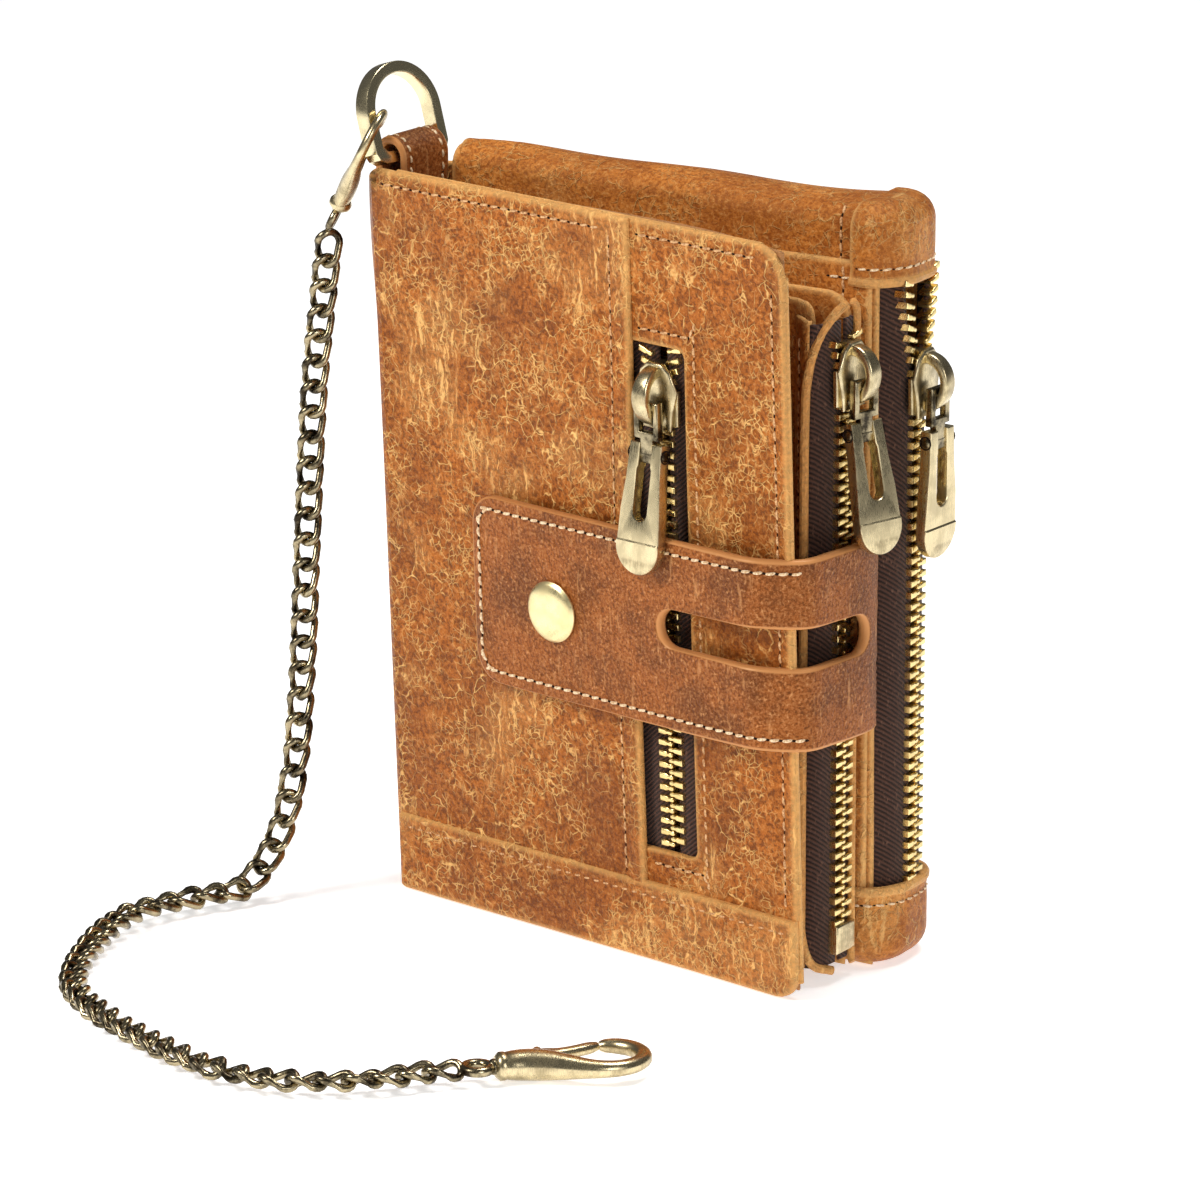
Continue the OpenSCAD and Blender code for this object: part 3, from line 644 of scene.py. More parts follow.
def cut_shape(outlines, thick, bevel):
    """Points and faces of a plate in the xz plane, centred on y = 0, with bevelled edges. The first
    outline is its outside, the others are holes."""
    curve = bpy.data.curves.new("cut", "CURVE")
    curve.dimensions = "2D"
    curve.fill_mode = "BOTH"
    curve.extrude = thick / 2 - bevel
    curve.bevel_depth = bevel
    curve.bevel_resolution = 2
    curve.offset = -bevel
    for outline in outlines:
        spline = curve.splines.new("POLY")
        spline.points.add(len(outline) - 1)
        for point, (x, z) in zip(spline.points, outline):
            point.co = (x, z, 0, 1)
        spline.use_cyclic_u = True
    holder = bpy.data.objects.new("cut", curve)
    bpy.context.scene.collection.objects.link(holder)
    bpy.context.view_layer.update()
    mesh = bpy.data.meshes.new_from_object(holder.evaluated_get(bpy.context.evaluated_depsgraph_get()))
    bpy.data.objects.remove(holder)
    work = bmesh.new()
    work.from_mesh(mesh)
    bmesh.ops.remove_doubles(work, verts=work.verts, dist=1e-4)
    bmesh.ops.recalc_face_normals(work, faces=work.faces)
    work.verts.ensure_lookup_table()
    points = np.array([(v.co.x, -v.co.z, v.co.y) for v in work.verts])
    faces = [tuple(v.index for v in f.verts) for f in work.faces]
    work.free()
    bpy.data.meshes.remove(mesh)
    return points, faces


def turned(profile, sides=64):
    """A shape of revolution about the y axis. profile is a list of (radius, y), ending on the axis."""
    rows = [np.array([(0, profile[0][1], 0)])]
    for r, y in profile[1:-1]:
        t = np.linspace(0, 2 * np.pi, sides, endpoint=False)
        rows.append(np.stack([r * np.cos(t), np.full(sides, y), r * np.sin(t)], -1))
    rows.append(np.array([(0, profile[-1][1], 0)]))
    faces = [(0, 1 + j, 1 + (j + 1) % sides) for j in range(sides)]
    for i in range(len(profile) - 3):
        for j in range(sides):
            k = (j + 1) % sides
            start = 1 + i * sides
            faces.append((start + j, start + sides + j, start + sides + k, start + k))
    last = 1 + (len(profile) - 3) * sides
    faces += [(last + (j + 1) % sides, last + j, last + sides) for j in range(sides)]
    return np.concatenate(rows), faces


# ---- stitches ----------------------------------------------------------------------------------

def add_stitches(name, base, route, surface, material, body, pitch=2.1, radius=0.2, share=0.72,
                 slant=0.12, hole=0.26, ride=True):
    """Thread, and dark discs of painted shade at the needle holes, along a route of (a, b) points lying on a
    surface.
    """
    path = Path(np.asarray(route, float), 2) if len(route) > 2 else Path(np.asarray(route, float), 1)
    count = max(int(path.length / pitch), 1)
    step = path.length / count
    threads, holes = [], []
    for k in range(count):
        middle = (k + 0.5) * step
        t = np.linspace(-share / 2, share / 2, 6)
        ab = path.at(middle + t * step)
        way = path.direction(np.array([middle]))[0]
        ab = ab + np.outer(t * slant * 2 * radius / share * 4, [-way[1], way[0]])
        spot, out = surface(ab[:, 0], ab[:, 1])
        lift = radius * np.array([-0.9, 0.25, 0.65, 0.65, 0.25, -0.9])
        threads.append(tube(spot + out * lift[:, None], radius * np.array([0.8, 1, 1.08, 1.08, 1, 0.8]), 6))
        # the needle hole at the start of each stitch: a dark disc whose colour is painted shade in the hole
        ab = path.at(np.array([k * step]))
        spot, out = surface(ab[:, 0], ab[:, 1])
        way3 = np.cross(out[0], [0, 0, 1.0]) if abs(way[0]) > abs(way[1]) else np.array([0, 0, 1.0])
        holes.append(hole_shade_disc(spot[0], out[0], way3, hole))
    points, faces = joined(threads)
    obj = add_mesh(name, points, faces, base, material, body, crease=60, ride=ride)
    points, faces = joined(holes)
    # all the dark discs of painted shade in the needle holes, as one mesh
    hole_shade_mesh = add_mesh(name + "_hole_shade", points, faces, base, HOLE_SHADE, body, crease=60, ride=ride)
    return [obj, hole_shade_mesh]


def hole_shade_disc(centre, out, along, size):
    """A shallow dark dimple at a needle hole, longer along the seam than across it; its dark colour is
    painted shade in the hole.
    """
    along = along - out * np.dot(along, out)
    along = along / np.linalg.norm(along)
    across = np.cross(out, along)
    turn = np.linspace(0, 2 * np.pi, 8, endpoint=False)[:, None]
    ring = centre + size * (1.25 * np.cos(turn) * along + 0.72 * np.sin(turn) * across)
    points = np.concatenate([ring + out * 0.03, ring * 0.55 + centre * 0.45 + out * 0.07,
                             [centre + out * 0.08], [centre - out * 0.2]])
    faces = [(j, (j + 1) % 8, 8 + (j + 1) % 8, 8 + j) for j in range(8)]
    faces += [(8 + j, 8 + (j + 1) % 8, 16) for j in range(8)]
    faces += [((j + 1) % 8, j, 17) for j in range(8)]
    return points, faces


# ---- front cover -------------------------------------------------------------------------------

COVER_W = 88.0
COVER_H = 124.0
LEFT_W = 56.0
BAND_H = 13.8
WINDOW_LOW = 19.5
WINDOW_HIGH = 104.0
WINDOW_RIGHT = 66.8
LEATHER = 1.5


def cover_surface(level, swell=0.45):
    """The cover's outer face, level mm inside the plane of the cover; level may be a function."""
    def surface(a, b):
        a, b = as_floats(a, b)
        inset = level(a, b) if callable(level) else level
        puff = swell * np.sin(np.pi * np.clip(a / COVER_W, 0, 1)) * np.sin(np.pi * np.clip(b / COVER_H, 0, 1))
        y = inset - puff - wobble(a, b, 0.10)
        return (np.stack([a, y, b], -1),
                np.broadcast_to(np.array([0.0, -1.0, 0.0]), a.shape + (3,)))
    return surface


def left_level(a, b):
    fold = smoothstep(51.4, 52.2, a) * 0.30 - 0.35 * np.exp(-((a - 51.9) / 0.5) ** 2)
    return -fold


def right_level(a, b):
    seam = 0.22 * np.exp(-((a - 85.6) / 0.5) ** 2) + 0.22 * np.exp(-((a - 69.0) / 0.45) ** 2)
    return 0.60 + seam


def band_level(a, b):
    return -0.45 + 0.30 * np.exp(-((b - 11.5) / 0.5) ** 2) + 0.35 * smoothstep(9.0, 0.0, b)


def build_cover():
    body = "front_cover"
    a, b, inside = box_grid((0.6, LEFT_W), (BAND_H - 2, COVER_H), 1.6, ("left", "bottom"))
    left = cover_surface(left_level)
    add_sheet("cover_left_leather", COVER, a, b, inside, left, LEATHER, TAN, body,
              ["cover_left_panel"], 0.7)
    add_stitches("cover_left_seam", COVER, [(51.9, BAND_H + 1), (51.9, COVER_H - 3)], left, TAN_THREAD, body)

    window = np.concatenate([
        line((LEFT_W - 2.5, WINDOW_HIGH), (WINDOW_RIGHT - 1.6, WINDOW_HIGH), 9)[:-1],
        arc((WINDOW_RIGHT - 1.6, WINDOW_HIGH - 1.6), 1.6, 90, 0, 8)[:-1],
        line((WINDOW_RIGHT, WINDOW_HIGH - 1.6), (WINDOW_RIGHT, WINDOW_LOW + 1.6), 60)[:-1],
        arc((WINDOW_RIGHT - 1.6, WINDOW_LOW + 1.6), 1.6, 0, -90, 8)[:-1],
        line((WINDOW_RIGHT - 1.6, WINDOW_LOW), (LEFT_W - 2.5, WINDOW_LOW), 9)])
    outline = np.concatenate([
        line((LEFT_W - 2.5, COVER_H), (COVER_W - 6, COVER_H), 9)[:-1],
        arc((COVER_W - 6, COVER_H - 6), 6, 90, 0, 8)[:-1],
        line((COVER_W, COVER_H - 6), (COVER_W, BAND_H), 60)[:-1],
        line((COVER_W, BAND_H), (COVER_W - 3, BAND_H - 2), 8)[:-1],
        line((COVER_W - 3, BAND_H - 2), (LEFT_W - 2.5, BAND_H - 2), 9)])
    a, b, inside = strip_grid(window, outline, 14)
    right = cover_surface(right_level)
    add_sheet("cover_right_leather", COVER, a, b, inside, right, LEATHER, TAN, body,
              ["cover_right_panel"], 0.6)
    add_stitches("window_seam", COVER, [(57.5, 106.4), (68.2, 106.4), (69.0, 105.6), (69.0, 60), (69.0, 17.9),
                                        (68.4, 17.2), (57.5, 17.2)], right, TAN_THREAD, body)
    add_stitches("right_edge_seam", COVER, [(85.6, 116), (85.6, BAND_H + 1.5)], right, TAN_THREAD, body)
    top_level = cover_surface(lambda p, q: np.where(p < LEFT_W, -0.02, 0.6))
    add_stitches("top_edge_seam", COVER, [(2, 121.6), (50, 121.6)], top_level, TAN_THREAD, body)
    add_stitches("top_edge_seam_right", COVER, [(57.5, 121.6), (82.5, 121.6)], top_level, TAN_THREAD, body)

    a, b, inside = box_grid((0.6, COVER_W), (0.15, BAND_H), 1.6, ("left",))
    a, b, inside = round_corners(a, b, inside, [((COVER_W, 0.15), 4.5)])
    band = cover_surface(band_level)
    add_sheet("cover_bottom_band", COVER, a, b, inside, band, LEATHER + 0.5, TAN, body,
              ["cover_band"], 0.8)
    add_stitches("band_seam", COVER, [(2, 11.5), (45, 11.5), (86.5, 11.5)], band, TAN_THREAD, body)

    plan = Path([(3, 1.9), (10, 2.2), (30, 3.6), (54, 5.0), (68, 5.0), (78, 3.4), (86.9, 1.7)])
    add_wall("cover_inner_leather", COVER, plan, (1.5, COVER_H - 1.0), 2.5, 0.9, INNER, body,
             ["cover_lining"], 0.4, 0.1)
    # the cut edges of the cover, where the outer leather and its lining are glued together
    for name, route in (("cover_edge_right", [(87.6, 1.7, 3), (87.7, 1.6, 60), (87.6, 1.7, 119)]),
                        ("cover_edge_top", [(4, 1.7, 123.5), (45, 1.8, 123.5), (83, 1.7, 123.5)])):
        add_bead(name, COVER, route, 0.5, 8, 60, body, 1.0)


def tape_surface(side):
    """One half of a zip's tape: a is the distance from the zip's middle, with a cord under the teeth."""
    def surface(a, b):
        a, b = as_floats(a, b)
        cord = 0.55 * np.exp(-((a - 2.75) / 0.55) ** 2)
        y = -0.30 - cord + 0.10 * np.sin(b / 5.0 + side)
        return (np.stack([side * a, y, b], -1),
                np.broadcast_to(np.array([0.0, -1.0, 0.0]), a.shape + (3,)))
    return surface


def tooth(side):
    """One zip tooth: a leg clamped on the tape's cord and a rounded head between its neighbours."""
    head = arc((0.0, 0), 0.42, 120, 240, 5)
    outline = np.concatenate([[(2.5, -0.50), (2.5, 0.50), (1.0, 0.48), (0.62, 0.30), (0.2, 0.40)], head,
                              [(0.2, -0.40), (0.62, -0.30), (1.0, -0.48)]])
    outline = outline * [side, 1]
    return cut_shape([outline if side > 0 else outline[::-1]], 2.3, 0.22)


def add_teeth(name, base, side, low, high, pitch, split, gap, material, body, nodes):
    """A row of teeth. Above the height split the row moves away from the middle, by gap at high."""
    points, faces = tooth(side)
    start = low + (pitch / 2 if side > 0 else 0)
    parts = []
    for k in range(int((high - low) / pitch)):
        z = start + k * pitch
        t = max(0.0, (z - split) / (high - split))
        away = gap * (1 - (1 - min(t, 1)) ** 1.6) if t > 0 else 0.0
        lean = side * math.radians(26) * min(t * 5, 1) * (1 - 0.6 * t)
        spun = points.copy()
        spun[:, 0] = points[:, 0] * math.cos(lean) - points[:, 2] * math.sin(lean)
        spun[:, 2] = points[:, 0] * math.sin(lean) + points[:, 2] * math.cos(lean)
        parts.append((spun + [side * away, 0, z], faces))
    points, faces = joined(parts)
    add_mesh(name, points, faces, base, material, body, nodes, crease=30)


TOOTH_PITCH = 1.9


def build_front_zip():
    body = "front_cover"
    for side, word in ((-1, "left"), (1, "right")):
        a, b, inside = box_grid((0.9, 8.8), (15.7, 107.8), 1.2)
        add_sheet("front_zip_tape_" + word, FRONT_ZIP, a, b, inside, tape_surface(side), 0.7, TAPE, body,
                  ["cover_tape_" + word], 0.3)
        add_teeth("front_zip_teeth_" + word, FRONT_ZIP, side, WINDOW_LOW + 1.2, WINDOW_HIGH + 1, TOOTH_PITCH,
                  front_link.z + LINK_DROP - 1, 2.2, GOLD, body, ["cover_teeth_" + word])


# ---- spine and back pocket ---------------------------------------------------------------------

BACK_H = 126.0
SLIP_TOP = 116.8
SPINE_LOW = 0.1
SPINE_TOP = 121.5


def spine_surface(a, b):
    """From the cover's fold round to the back: the top stands out to the left, the foot hugs the pages."""
    a, b = as_floats(a, b)
    rows = np.empty(a.shape + (3,))
    outs = np.empty(a.shape + (3,))
    flat_a, flat_b = a.reshape(-1), b.reshape(-1)
    for k, height in enumerate(flat_b):
        plan = spine_plan(round(float(height), 3))
        s = np.array([flat_a[k] * plan.length])
        spot, way = plan.at(s)[0], plan.direction(s)[0]
        rows.reshape(-1, 3)[k] = (spot[0], spot[1], height)
        outs.reshape(-1, 3)[k] = (-way[1], way[0], 0)
    return rows, outs


spine_plans = {}


def spine_plan(height):
    if height not in spine_plans:
        cover = [COVER @ Vector((u * MM, y * MM, height * MM))
                 for u, y in ((2.4, 0.25), (0.9, 0.10), (0.0, 0.25))]
        near = [((PLACED.inverted() @ p) / MM).to_2d() for p in cover]
        out = float(smoothstep(62, 119, height))
        fold = near[2] + Vector((-0.75 - 0.5 * out, 0.9))
        points = [near[0], near[1], near[2] + Vector((-0.35, 0.3)), fold,
                  (-1.9 - 4.6 * out, 3.6 - 1.2 * out), (-2.7 - 4.0 * out, 8.4), (-1.6 - 1.6 * out, 13.2),
                  (2.2, 16.6), (8.0, 17.45), (14.0, 17.5)]
        spine_plans[height] = Path(np.array([tuple(p) for p in points]), 8)
    return spine_plans[height]


def build_spine():
    a, b = np.meshgrid(np.linspace(0, 1, 44), lines(SPINE_LOW, SPINE_TOP, 2.5), indexing="ij")
    inside = np.minimum(b - SPINE_LOW, SPINE_TOP - b)
    spine = add_sheet("spine_leather", PLACED, a, b, inside, spine_surface, 1.4, TAN, "back_leaf",
                      ["spine"], 0.6, ride=False)
    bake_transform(spine)


def pocket_surface(front, back, top, roll):
    """Leather that goes up the pocket's front, over its top and down its back. a is x, b is the height up
    the front, then the roll over the top, then the way down."""
    def surface(a, b):
        a, b = as_floats(a, b)
        y_front = front(a) + wobble(a, b, 0.28, 0.7)
        y_back = back(a) - wobble(a, b, 0.2, 2.0)
        dip = 0.5 * np.sin(a / 16.0 + 0.6) + 0.25 * np.sin(a / 6.5)
        flat = np.maximum(y_back - y_front - 2 * roll, 0)
        quarter = roll * np.pi / 2
        up = top - roll + dip
        t1 = np.clip((b - up) / quarter, 0, 1)
        t2 = np.clip((b - up - quarter) / flat, 0, 1)
        t3 = np.clip((b - up - quarter - flat) / quarter, 0, 1)
        down = np.maximum(b - up - 2 * quarter - flat, 0)
        y = y_front + roll * (1 - np.cos(t1 * np.pi / 2)) + flat * t2 + roll * np.sin(t3 * np.pi / 2)
        crown = 0.5 * np.sin(np.pi * t2)
        z = (np.minimum(b, up) + roll * np.sin(t1 * np.pi / 2) + crown
             - roll * (1 - np.cos(t3 * np.pi / 2)) - down)
        angle = (t1 + t3) * np.pi / 2
        out = np.stack([np.zeros_like(a), -np.cos(angle), np.sin(angle)], -1)
        return np.stack([a, y, z], -1), out
    return surface


def build_back_pocket():
    body = "back_leaf"
    roll = 3.4
    front = lambda x: 6.2 - (x - 6.6) * 4.7 / 80.4
    back = lambda x: np.interp(x, [6, 14, 90], [15.2, 17.3, 17.3])
    surface = pocket_surface(front, back, BACK_H - 0.4, roll)
    up = BACK_H - 0.4 - roll
    wide = 9.0
    end_b = up * 2 + roll * np.pi + wide
    a1 = lines(6.6, 87.4, 1.8)
    b1 = np.concatenate([lines(0.3, up, 3.0)[:-4], np.linspace(up - 1, up + roll * np.pi + wide + 8, 34),
                         np.linspace(up + roll * np.pi + wide + 10, end_b, 46)])
    a, b = np.meshgrid(a1, b1, indexing="ij")
    inside = np.minimum(np.minimum(a - 6.6, 87.4 - a), b - 0.3)
    inside = np.minimum(inside, end_b - b + 0.001)
    spot, _ = surface(a, b)
    low = spot[..., 2] < 0.15
    b = np.where(low, b + (spot[..., 2] - 0.15), b)
    add_sheet("back_pocket_leather", PLACED, a, b, inside, surface, 1.3, TAN_PLAIN, body,
              ["back_wall", "back_front_wall", "back_top_gusset"], 0.5)
    add_stitches("back_front_seam", PLACED, [(80.6, 96), (80.6, up - 1), (80.6, up + 3.5)], surface,
                 TAN_THREAD, body)

    plan = Path([(83, -0.1), (86.6, -0.35), (89.6, 1.9), (91.4, 5.4), (91.7, 9.2), (91.4, 13.2), (89.6, 16.7),
                 (86.6, 18.6), (83, 18.7)])
    for name, low, high, node in (("back_top_cap_leather", 113.6, 126.0, "back_top_cap"),
                                  ("back_bottom_cap_leather", 0.15, 13.0, "back_bottom_cap")):
        at_top = node == "back_top_cap"
        surface = cap_surface(plan, low, high, at_top)
        reach = (high - low) + 8.0
        a1 = lines(0, plan.length, 1.1)
        b1 = lines(0, reach, 0.9)
        a, b = np.meshgrid(a1, b1, indexing="ij")
        inside = np.minimum(np.minimum(a, plan.length - a), b)
        add_sheet(name, PLACED, a, b, inside, surface, 1.25, TAN_PLAIN, body, [node], 0.6)
        add_stitches(name + "_seam", PLACED, [(1.5, 2.2), (plan.length / 2, 2.2), (plan.length - 1.5, 2.2)],
                     surface, CREAM, body)
        add_rolled_edge(name + "_edge", plan, low if at_top else high, body)

    for side, word in ((-1, "front"), (1, "rear")):
        z = 9.4
        curve = [(86.2, z + side * 7.4), (87.6, z + side * 7.0), (89.4, z + side * 5.0),
                 (90.2, z + side * 3.0), (90.35, z + side * 0.6)]
        plan_tape = Path(curve[::-1] if side > 0 else curve)
        a, b, inside = box_grid((0, plan_tape.length), (2.4, 123), 1.0)
        add_sheet("back_zip_tape_" + word, PLACED, a, b, inside, back_tape_surface(plan_tape, side), 0.7,
                  TAPE_SIDE, body, ["back_tape_" + word], 0.3)
        add_teeth("back_zip_teeth_" + word, BACK_ZIP, side, 14, 115.5, TOOTH_PITCH,
                  back_link.z + LINK_DROP - 1, 3.6, GOLD, body, ["back_teeth_" + word])

    plan = Path([(30, 3.0), (55, 2.0), (80, 0.6), (85.4, 0.1), (86.9, 0.5)])
    end = plan.length
    surface = add_wall("slip_pocket_leather", PLACED, plan, (8, SLIP_TOP), 2.2, 1.2, TAN_PLAIN, body,
                       ["slip_panel"], 0.55, 0.15, 1.1, [((end, SLIP_TOP), 2.5)])
    add_stitches("slip_pocket_seam", PLACED, [(end - 8, 113.9), (end - 1.5, 113.9)], surface, CREAM, body)
    add_stitches("slip_pocket_side_seam", PLACED, [(end - 5.2, 20), (end - 5.2, 116)], surface,
                 TAN_THREAD, body)
    add_plate_copy("back_bottom_gusset", "back_bottom_leather", INNER, body, 0.4)


def cap_surface(plan, low, high, at_top, roll=4.2):
    """A cap sewn round the pocket's end. b runs from its sewn edge to its closed end, then inwards."""
    def surface(a, b):
        a, b = as_floats(a, b)
        spot = plan.at(a)
        way = plan.direction(a)
        out2 = np.stack([way[..., 1], -way[..., 0]], -1)
        straight = high - low - roll
        t = np.clip((b - straight) / (roll * np.pi / 2), 0, 1)
        flat = np.maximum(b - straight - roll * np.pi / 2, 0)
        seam = 0.22 * np.exp(-((b - 2.2) / 0.5) ** 2)
        inset = roll * (1 - np.cos(t * np.pi / 2)) + flat + seam
        rise = np.minimum(b, straight) + roll * np.sin(t * np.pi / 2)
        centre = np.stack([np.full_like(a, 84.0), np.full_like(a, 9.3)], -1)
        away = centre - spot
        size = np.linalg.norm(away, axis=-1, keepdims=True)
        spot = spot + away / size * np.minimum(inset[..., None], size - 0.05)
        z = low + rise if at_top else high - rise
        up = np.sin(t * np.pi / 2) * (1 if at_top else -1)
        out = np.concatenate([out2 * np.cos(t * np.pi / 2)[..., None], up[..., None]], -1)
        return np.concatenate([spot, z[..., None]], -1), out
    return surface


def add_rolled_edge(name, plan, height, body):
    """The cap's turned edge, as a soft round bead."""
    s = np.linspace(0.2, plan.length - 0.2, 70)
    way = plan.direction(s)
    spot = plan.at(s) + np.stack([way[:, 1], -way[:, 0]], -1) * -0.45
    path = np.concatenate([spot, np.full((len(s), 1), height)], -1)
    points, faces = tube(path, 0.85, 10)
    add_mesh(name, points, faces, PLACED, TAN_PLAIN, body, edge=np.full(len(points), 0.8))


def back_tape_surface(plan, side):
    """Tape that follows its teeth: above the slider it opens away from the middle."""
    flat = wall_surface(plan, 0.05)

    def surface(a, b):
        spot, out = flat(a, b)
        t = np.clip((b - 96) / (115.5 - 96), 0, 1)
        near = smoothstep(6.5, 0.5, np.abs(spot[..., 1] - 9.4))
        spot = spot.copy()
        spot[..., 1] += side * 3.6 * (1 - (1 - t) ** 1.6) * near
        return spot, out
    return surface


def add_plate_copy(node, name, material, body, bevel):
    """A finished copy of a simple CAD plate, with rounded edges, in place of the plain one."""
    work = bmesh.new()
    work.from_mesh(frame["nodes"][node].data)
    bmesh.ops.remove_doubles(work, verts=work.verts, dist=1e-6)
    bmesh.ops.dissolve_limit(work, angle_limit=math.radians(3), verts=work.verts, edges=work.edges)
    sharp = [e for e in work.edges if len(e.link_faces) == 2 and e.calc_face_angle(0) > math.radians(25)]
    bmesh.ops.bevel(work, geom=sharp, offset=bevel * MM, segments=3, affect="EDGES", profile=0.5,
                    clamp_overlap=True)
    mesh = bpy.data.meshes.new(name)
    work.to_mesh(mesh)
    work.free()
    mesh.polygons.foreach_set("use_smooth", [True] * len(mesh.polygons))
    mesh.set_sharp_from_angle(angle=math.radians(40))
    mesh.materials.append(material)
    obj = bpy.data.objects.new(name, mesh)
    bpy.context.scene.collection.objects.link(obj)
    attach(obj, body)
    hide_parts(node)


# ---- middle page -------------------------------------------------------------------------------

PAGE_TOP = 112.5
SLOT_STEP = 0.62


def build_page():
    body = "page"
    rear = Path([(82.4, -0.02), (60, -0.02), (30, -0.02), (0.2, -0.02)])
    add_wall("page_rear_leather", PAGE, rear, (1.5, PAGE_TOP), 2.6, 1.15, TAN_PLAIN, body, ["page_rear_wall"],
             0.5, corners=[((0, PAGE_TOP), 4)])
    plan = Path([(0.2, -2.3), (40, -4.6), (79.4, -6.8)])
    add_wall("page_front_leather", PAGE, plan, (3, PAGE_TOP - 0.5), 2.4, 1.0, TAN_PLAIN, body,
             ["page_front_wall"], 0.45, 0.12, 0.4, [((plan.length, PAGE_TOP - 0.5), 3)])
    for k, (word, top) in enumerate((("high", 98.0), ("mid", 87.5), ("low", 77.0))):
        depth = SLOT_STEP * k
        plan = Path([(20, -4.07 - depth), (48, -5.6 - depth), (75.6, -7.22 - depth)])
        surface = add_wall("card_slot_leather_" + word, PAGE, plan, (5, top), 2.4, 0.6, TAN_PLAIN, body,
                           ["card_slot_" + word], 0.28, corners=[((plan.length, top), 2)])
        add_stitches("card_slot_seam_" + word, PAGE, [(4, top - 2), (plan.length - 2, top - 2)], surface,
                     TAN_THREAD, body)

    # the binding: a folded strip of leather beside the zip, with a rolled edge that curves in at both ends
    binding = Path([(76.2, -7.2), (78.2, -8.7), (79.7, -10.0), (80.5, -10.2), (81.0, -9.6)])
    surface = add_wall("page_binding_leather", PAGE, binding, (3, PAGE_TOP - 3), 1.2, 0.9, TAN_PLAIN, body,
                       ["page_binding"], 0.4)
    add_stitches("page_binding_seam", PAGE, [(2.0, 6), (2.0, PAGE_TOP - 6)], surface, TAN_THREAD, body)
    route = [(83.6, -6.2, 2.2), (81.6, -9.2, 3.6), (80.4, -10.4, 8), (80.2, -10.5, 16), (80.2, -10.5, 60),
             (80.2, -10.5, 92), (80.6, -10.2, 101), (81.8, -8.8, 107), (83.2, -6.4, 110.4),
             (83.8, -4.2, 111.6)]
    add_bead("page_zip_piping", PAGE, route, 0.75, 10, 120, body, 0.6)
    route = [(83.9, -0.7, 2.2), (83.5, -0.55, 8), (83.4, -0.5, 60), (83.5, -0.55, 104), (83.9, -1.2, 110),
             (84.0, -2.6, 111.8)]
    add_bead("page_rear_piping", PAGE, route, 0.62, 10, 90, body, 0.6)

    tape = Path([(80.6, -10.1), (81.6, -9.6), (82.5, -8.2), (82.95, -6.4), (83.0, -4.4)])
    rear_tape = Path([(83.0, -3.2), (83.0, -1.8), (82.9, -0.7), (82.3, -0.35)])
    for word, plan in (("front", tape), ("rear", rear_tape)):
        add_wall("page_zip_tape_" + word, PAGE, plan, (3, PAGE_TOP - 3.5), 1.0, 0.6, TAPE_SIDE, body,
                 ["page_tape_" + word], 0.25, 0.06)
    for side, word in ((-1, "front"), (1, "rear")):
        add_teeth("page_zip_teeth_" + word, PAGE_ZIP, side, 10, 107, TOOTH_PITCH,
                  page_link.z + LINK_DROP - 1, 1.6, GOLD, body, ["page_teeth_" + word])
    points, faces = cut_shape([[(-2.7, 5), (2.7, 5), (2.7, 9.7), (-2.7, 9.7)]], 3.3, 0.35)
    add_mesh("page_zip_stop", points, faces, PAGE_ZIP, BRASS, body, ["page_stop"], crease=30)
    add_plate_copy("page_bottom_gusset", "page_bottom_leather", INNER, body, 0.3)
    add_plate_copy("strap_root", "strap_root_leather", STRAP, body, 0.35)


# ---- strap -------------------------------------------------------------------------------------

STRAP_LEFT = 21.4
STRAP_LOW = 42.0
STRAP_HIGH = 73.6
STRAP_R = 5.5
STRAP_OUT = -3.0
SLOT_MIDDLE = 59.0
SLOT_R = 3.2
SLOT_LEFT = 63.6
SNAP_U = 40.1
SNAP_W = 57.1


def strap_plan(height):
    """The strap's outer face in plan at a height: along the cover, round the page's edge, and behind."""
    points = []
    for u, y in ((STRAP_LEFT, -2.2), (26, -2.75), (34, STRAP_OUT), (50, STRAP_OUT - 0.1),
                 (64, STRAP_OUT - 0.35), (76, STRAP_OUT - 0.2), (83.5, STRAP_OUT + 0.5)):
        p = (PLACED.inverted() @ (COVER @ Vector((u * MM, y * MM, height * MM)))) / MM
        points.append((p.x, p.y))
    lean = (height - SLOT_MIDDLE) * 0.044
    points += [(87.2, -21.2 - 0.6 * lean), (89.3, -14.5), (90.5, -8.0), (90.5, -3.6), (88.9, -1.15),
               (86.2, -1.0), (82, -1.3), (70, -0.35)]
    return Path(np.array(points), 10)


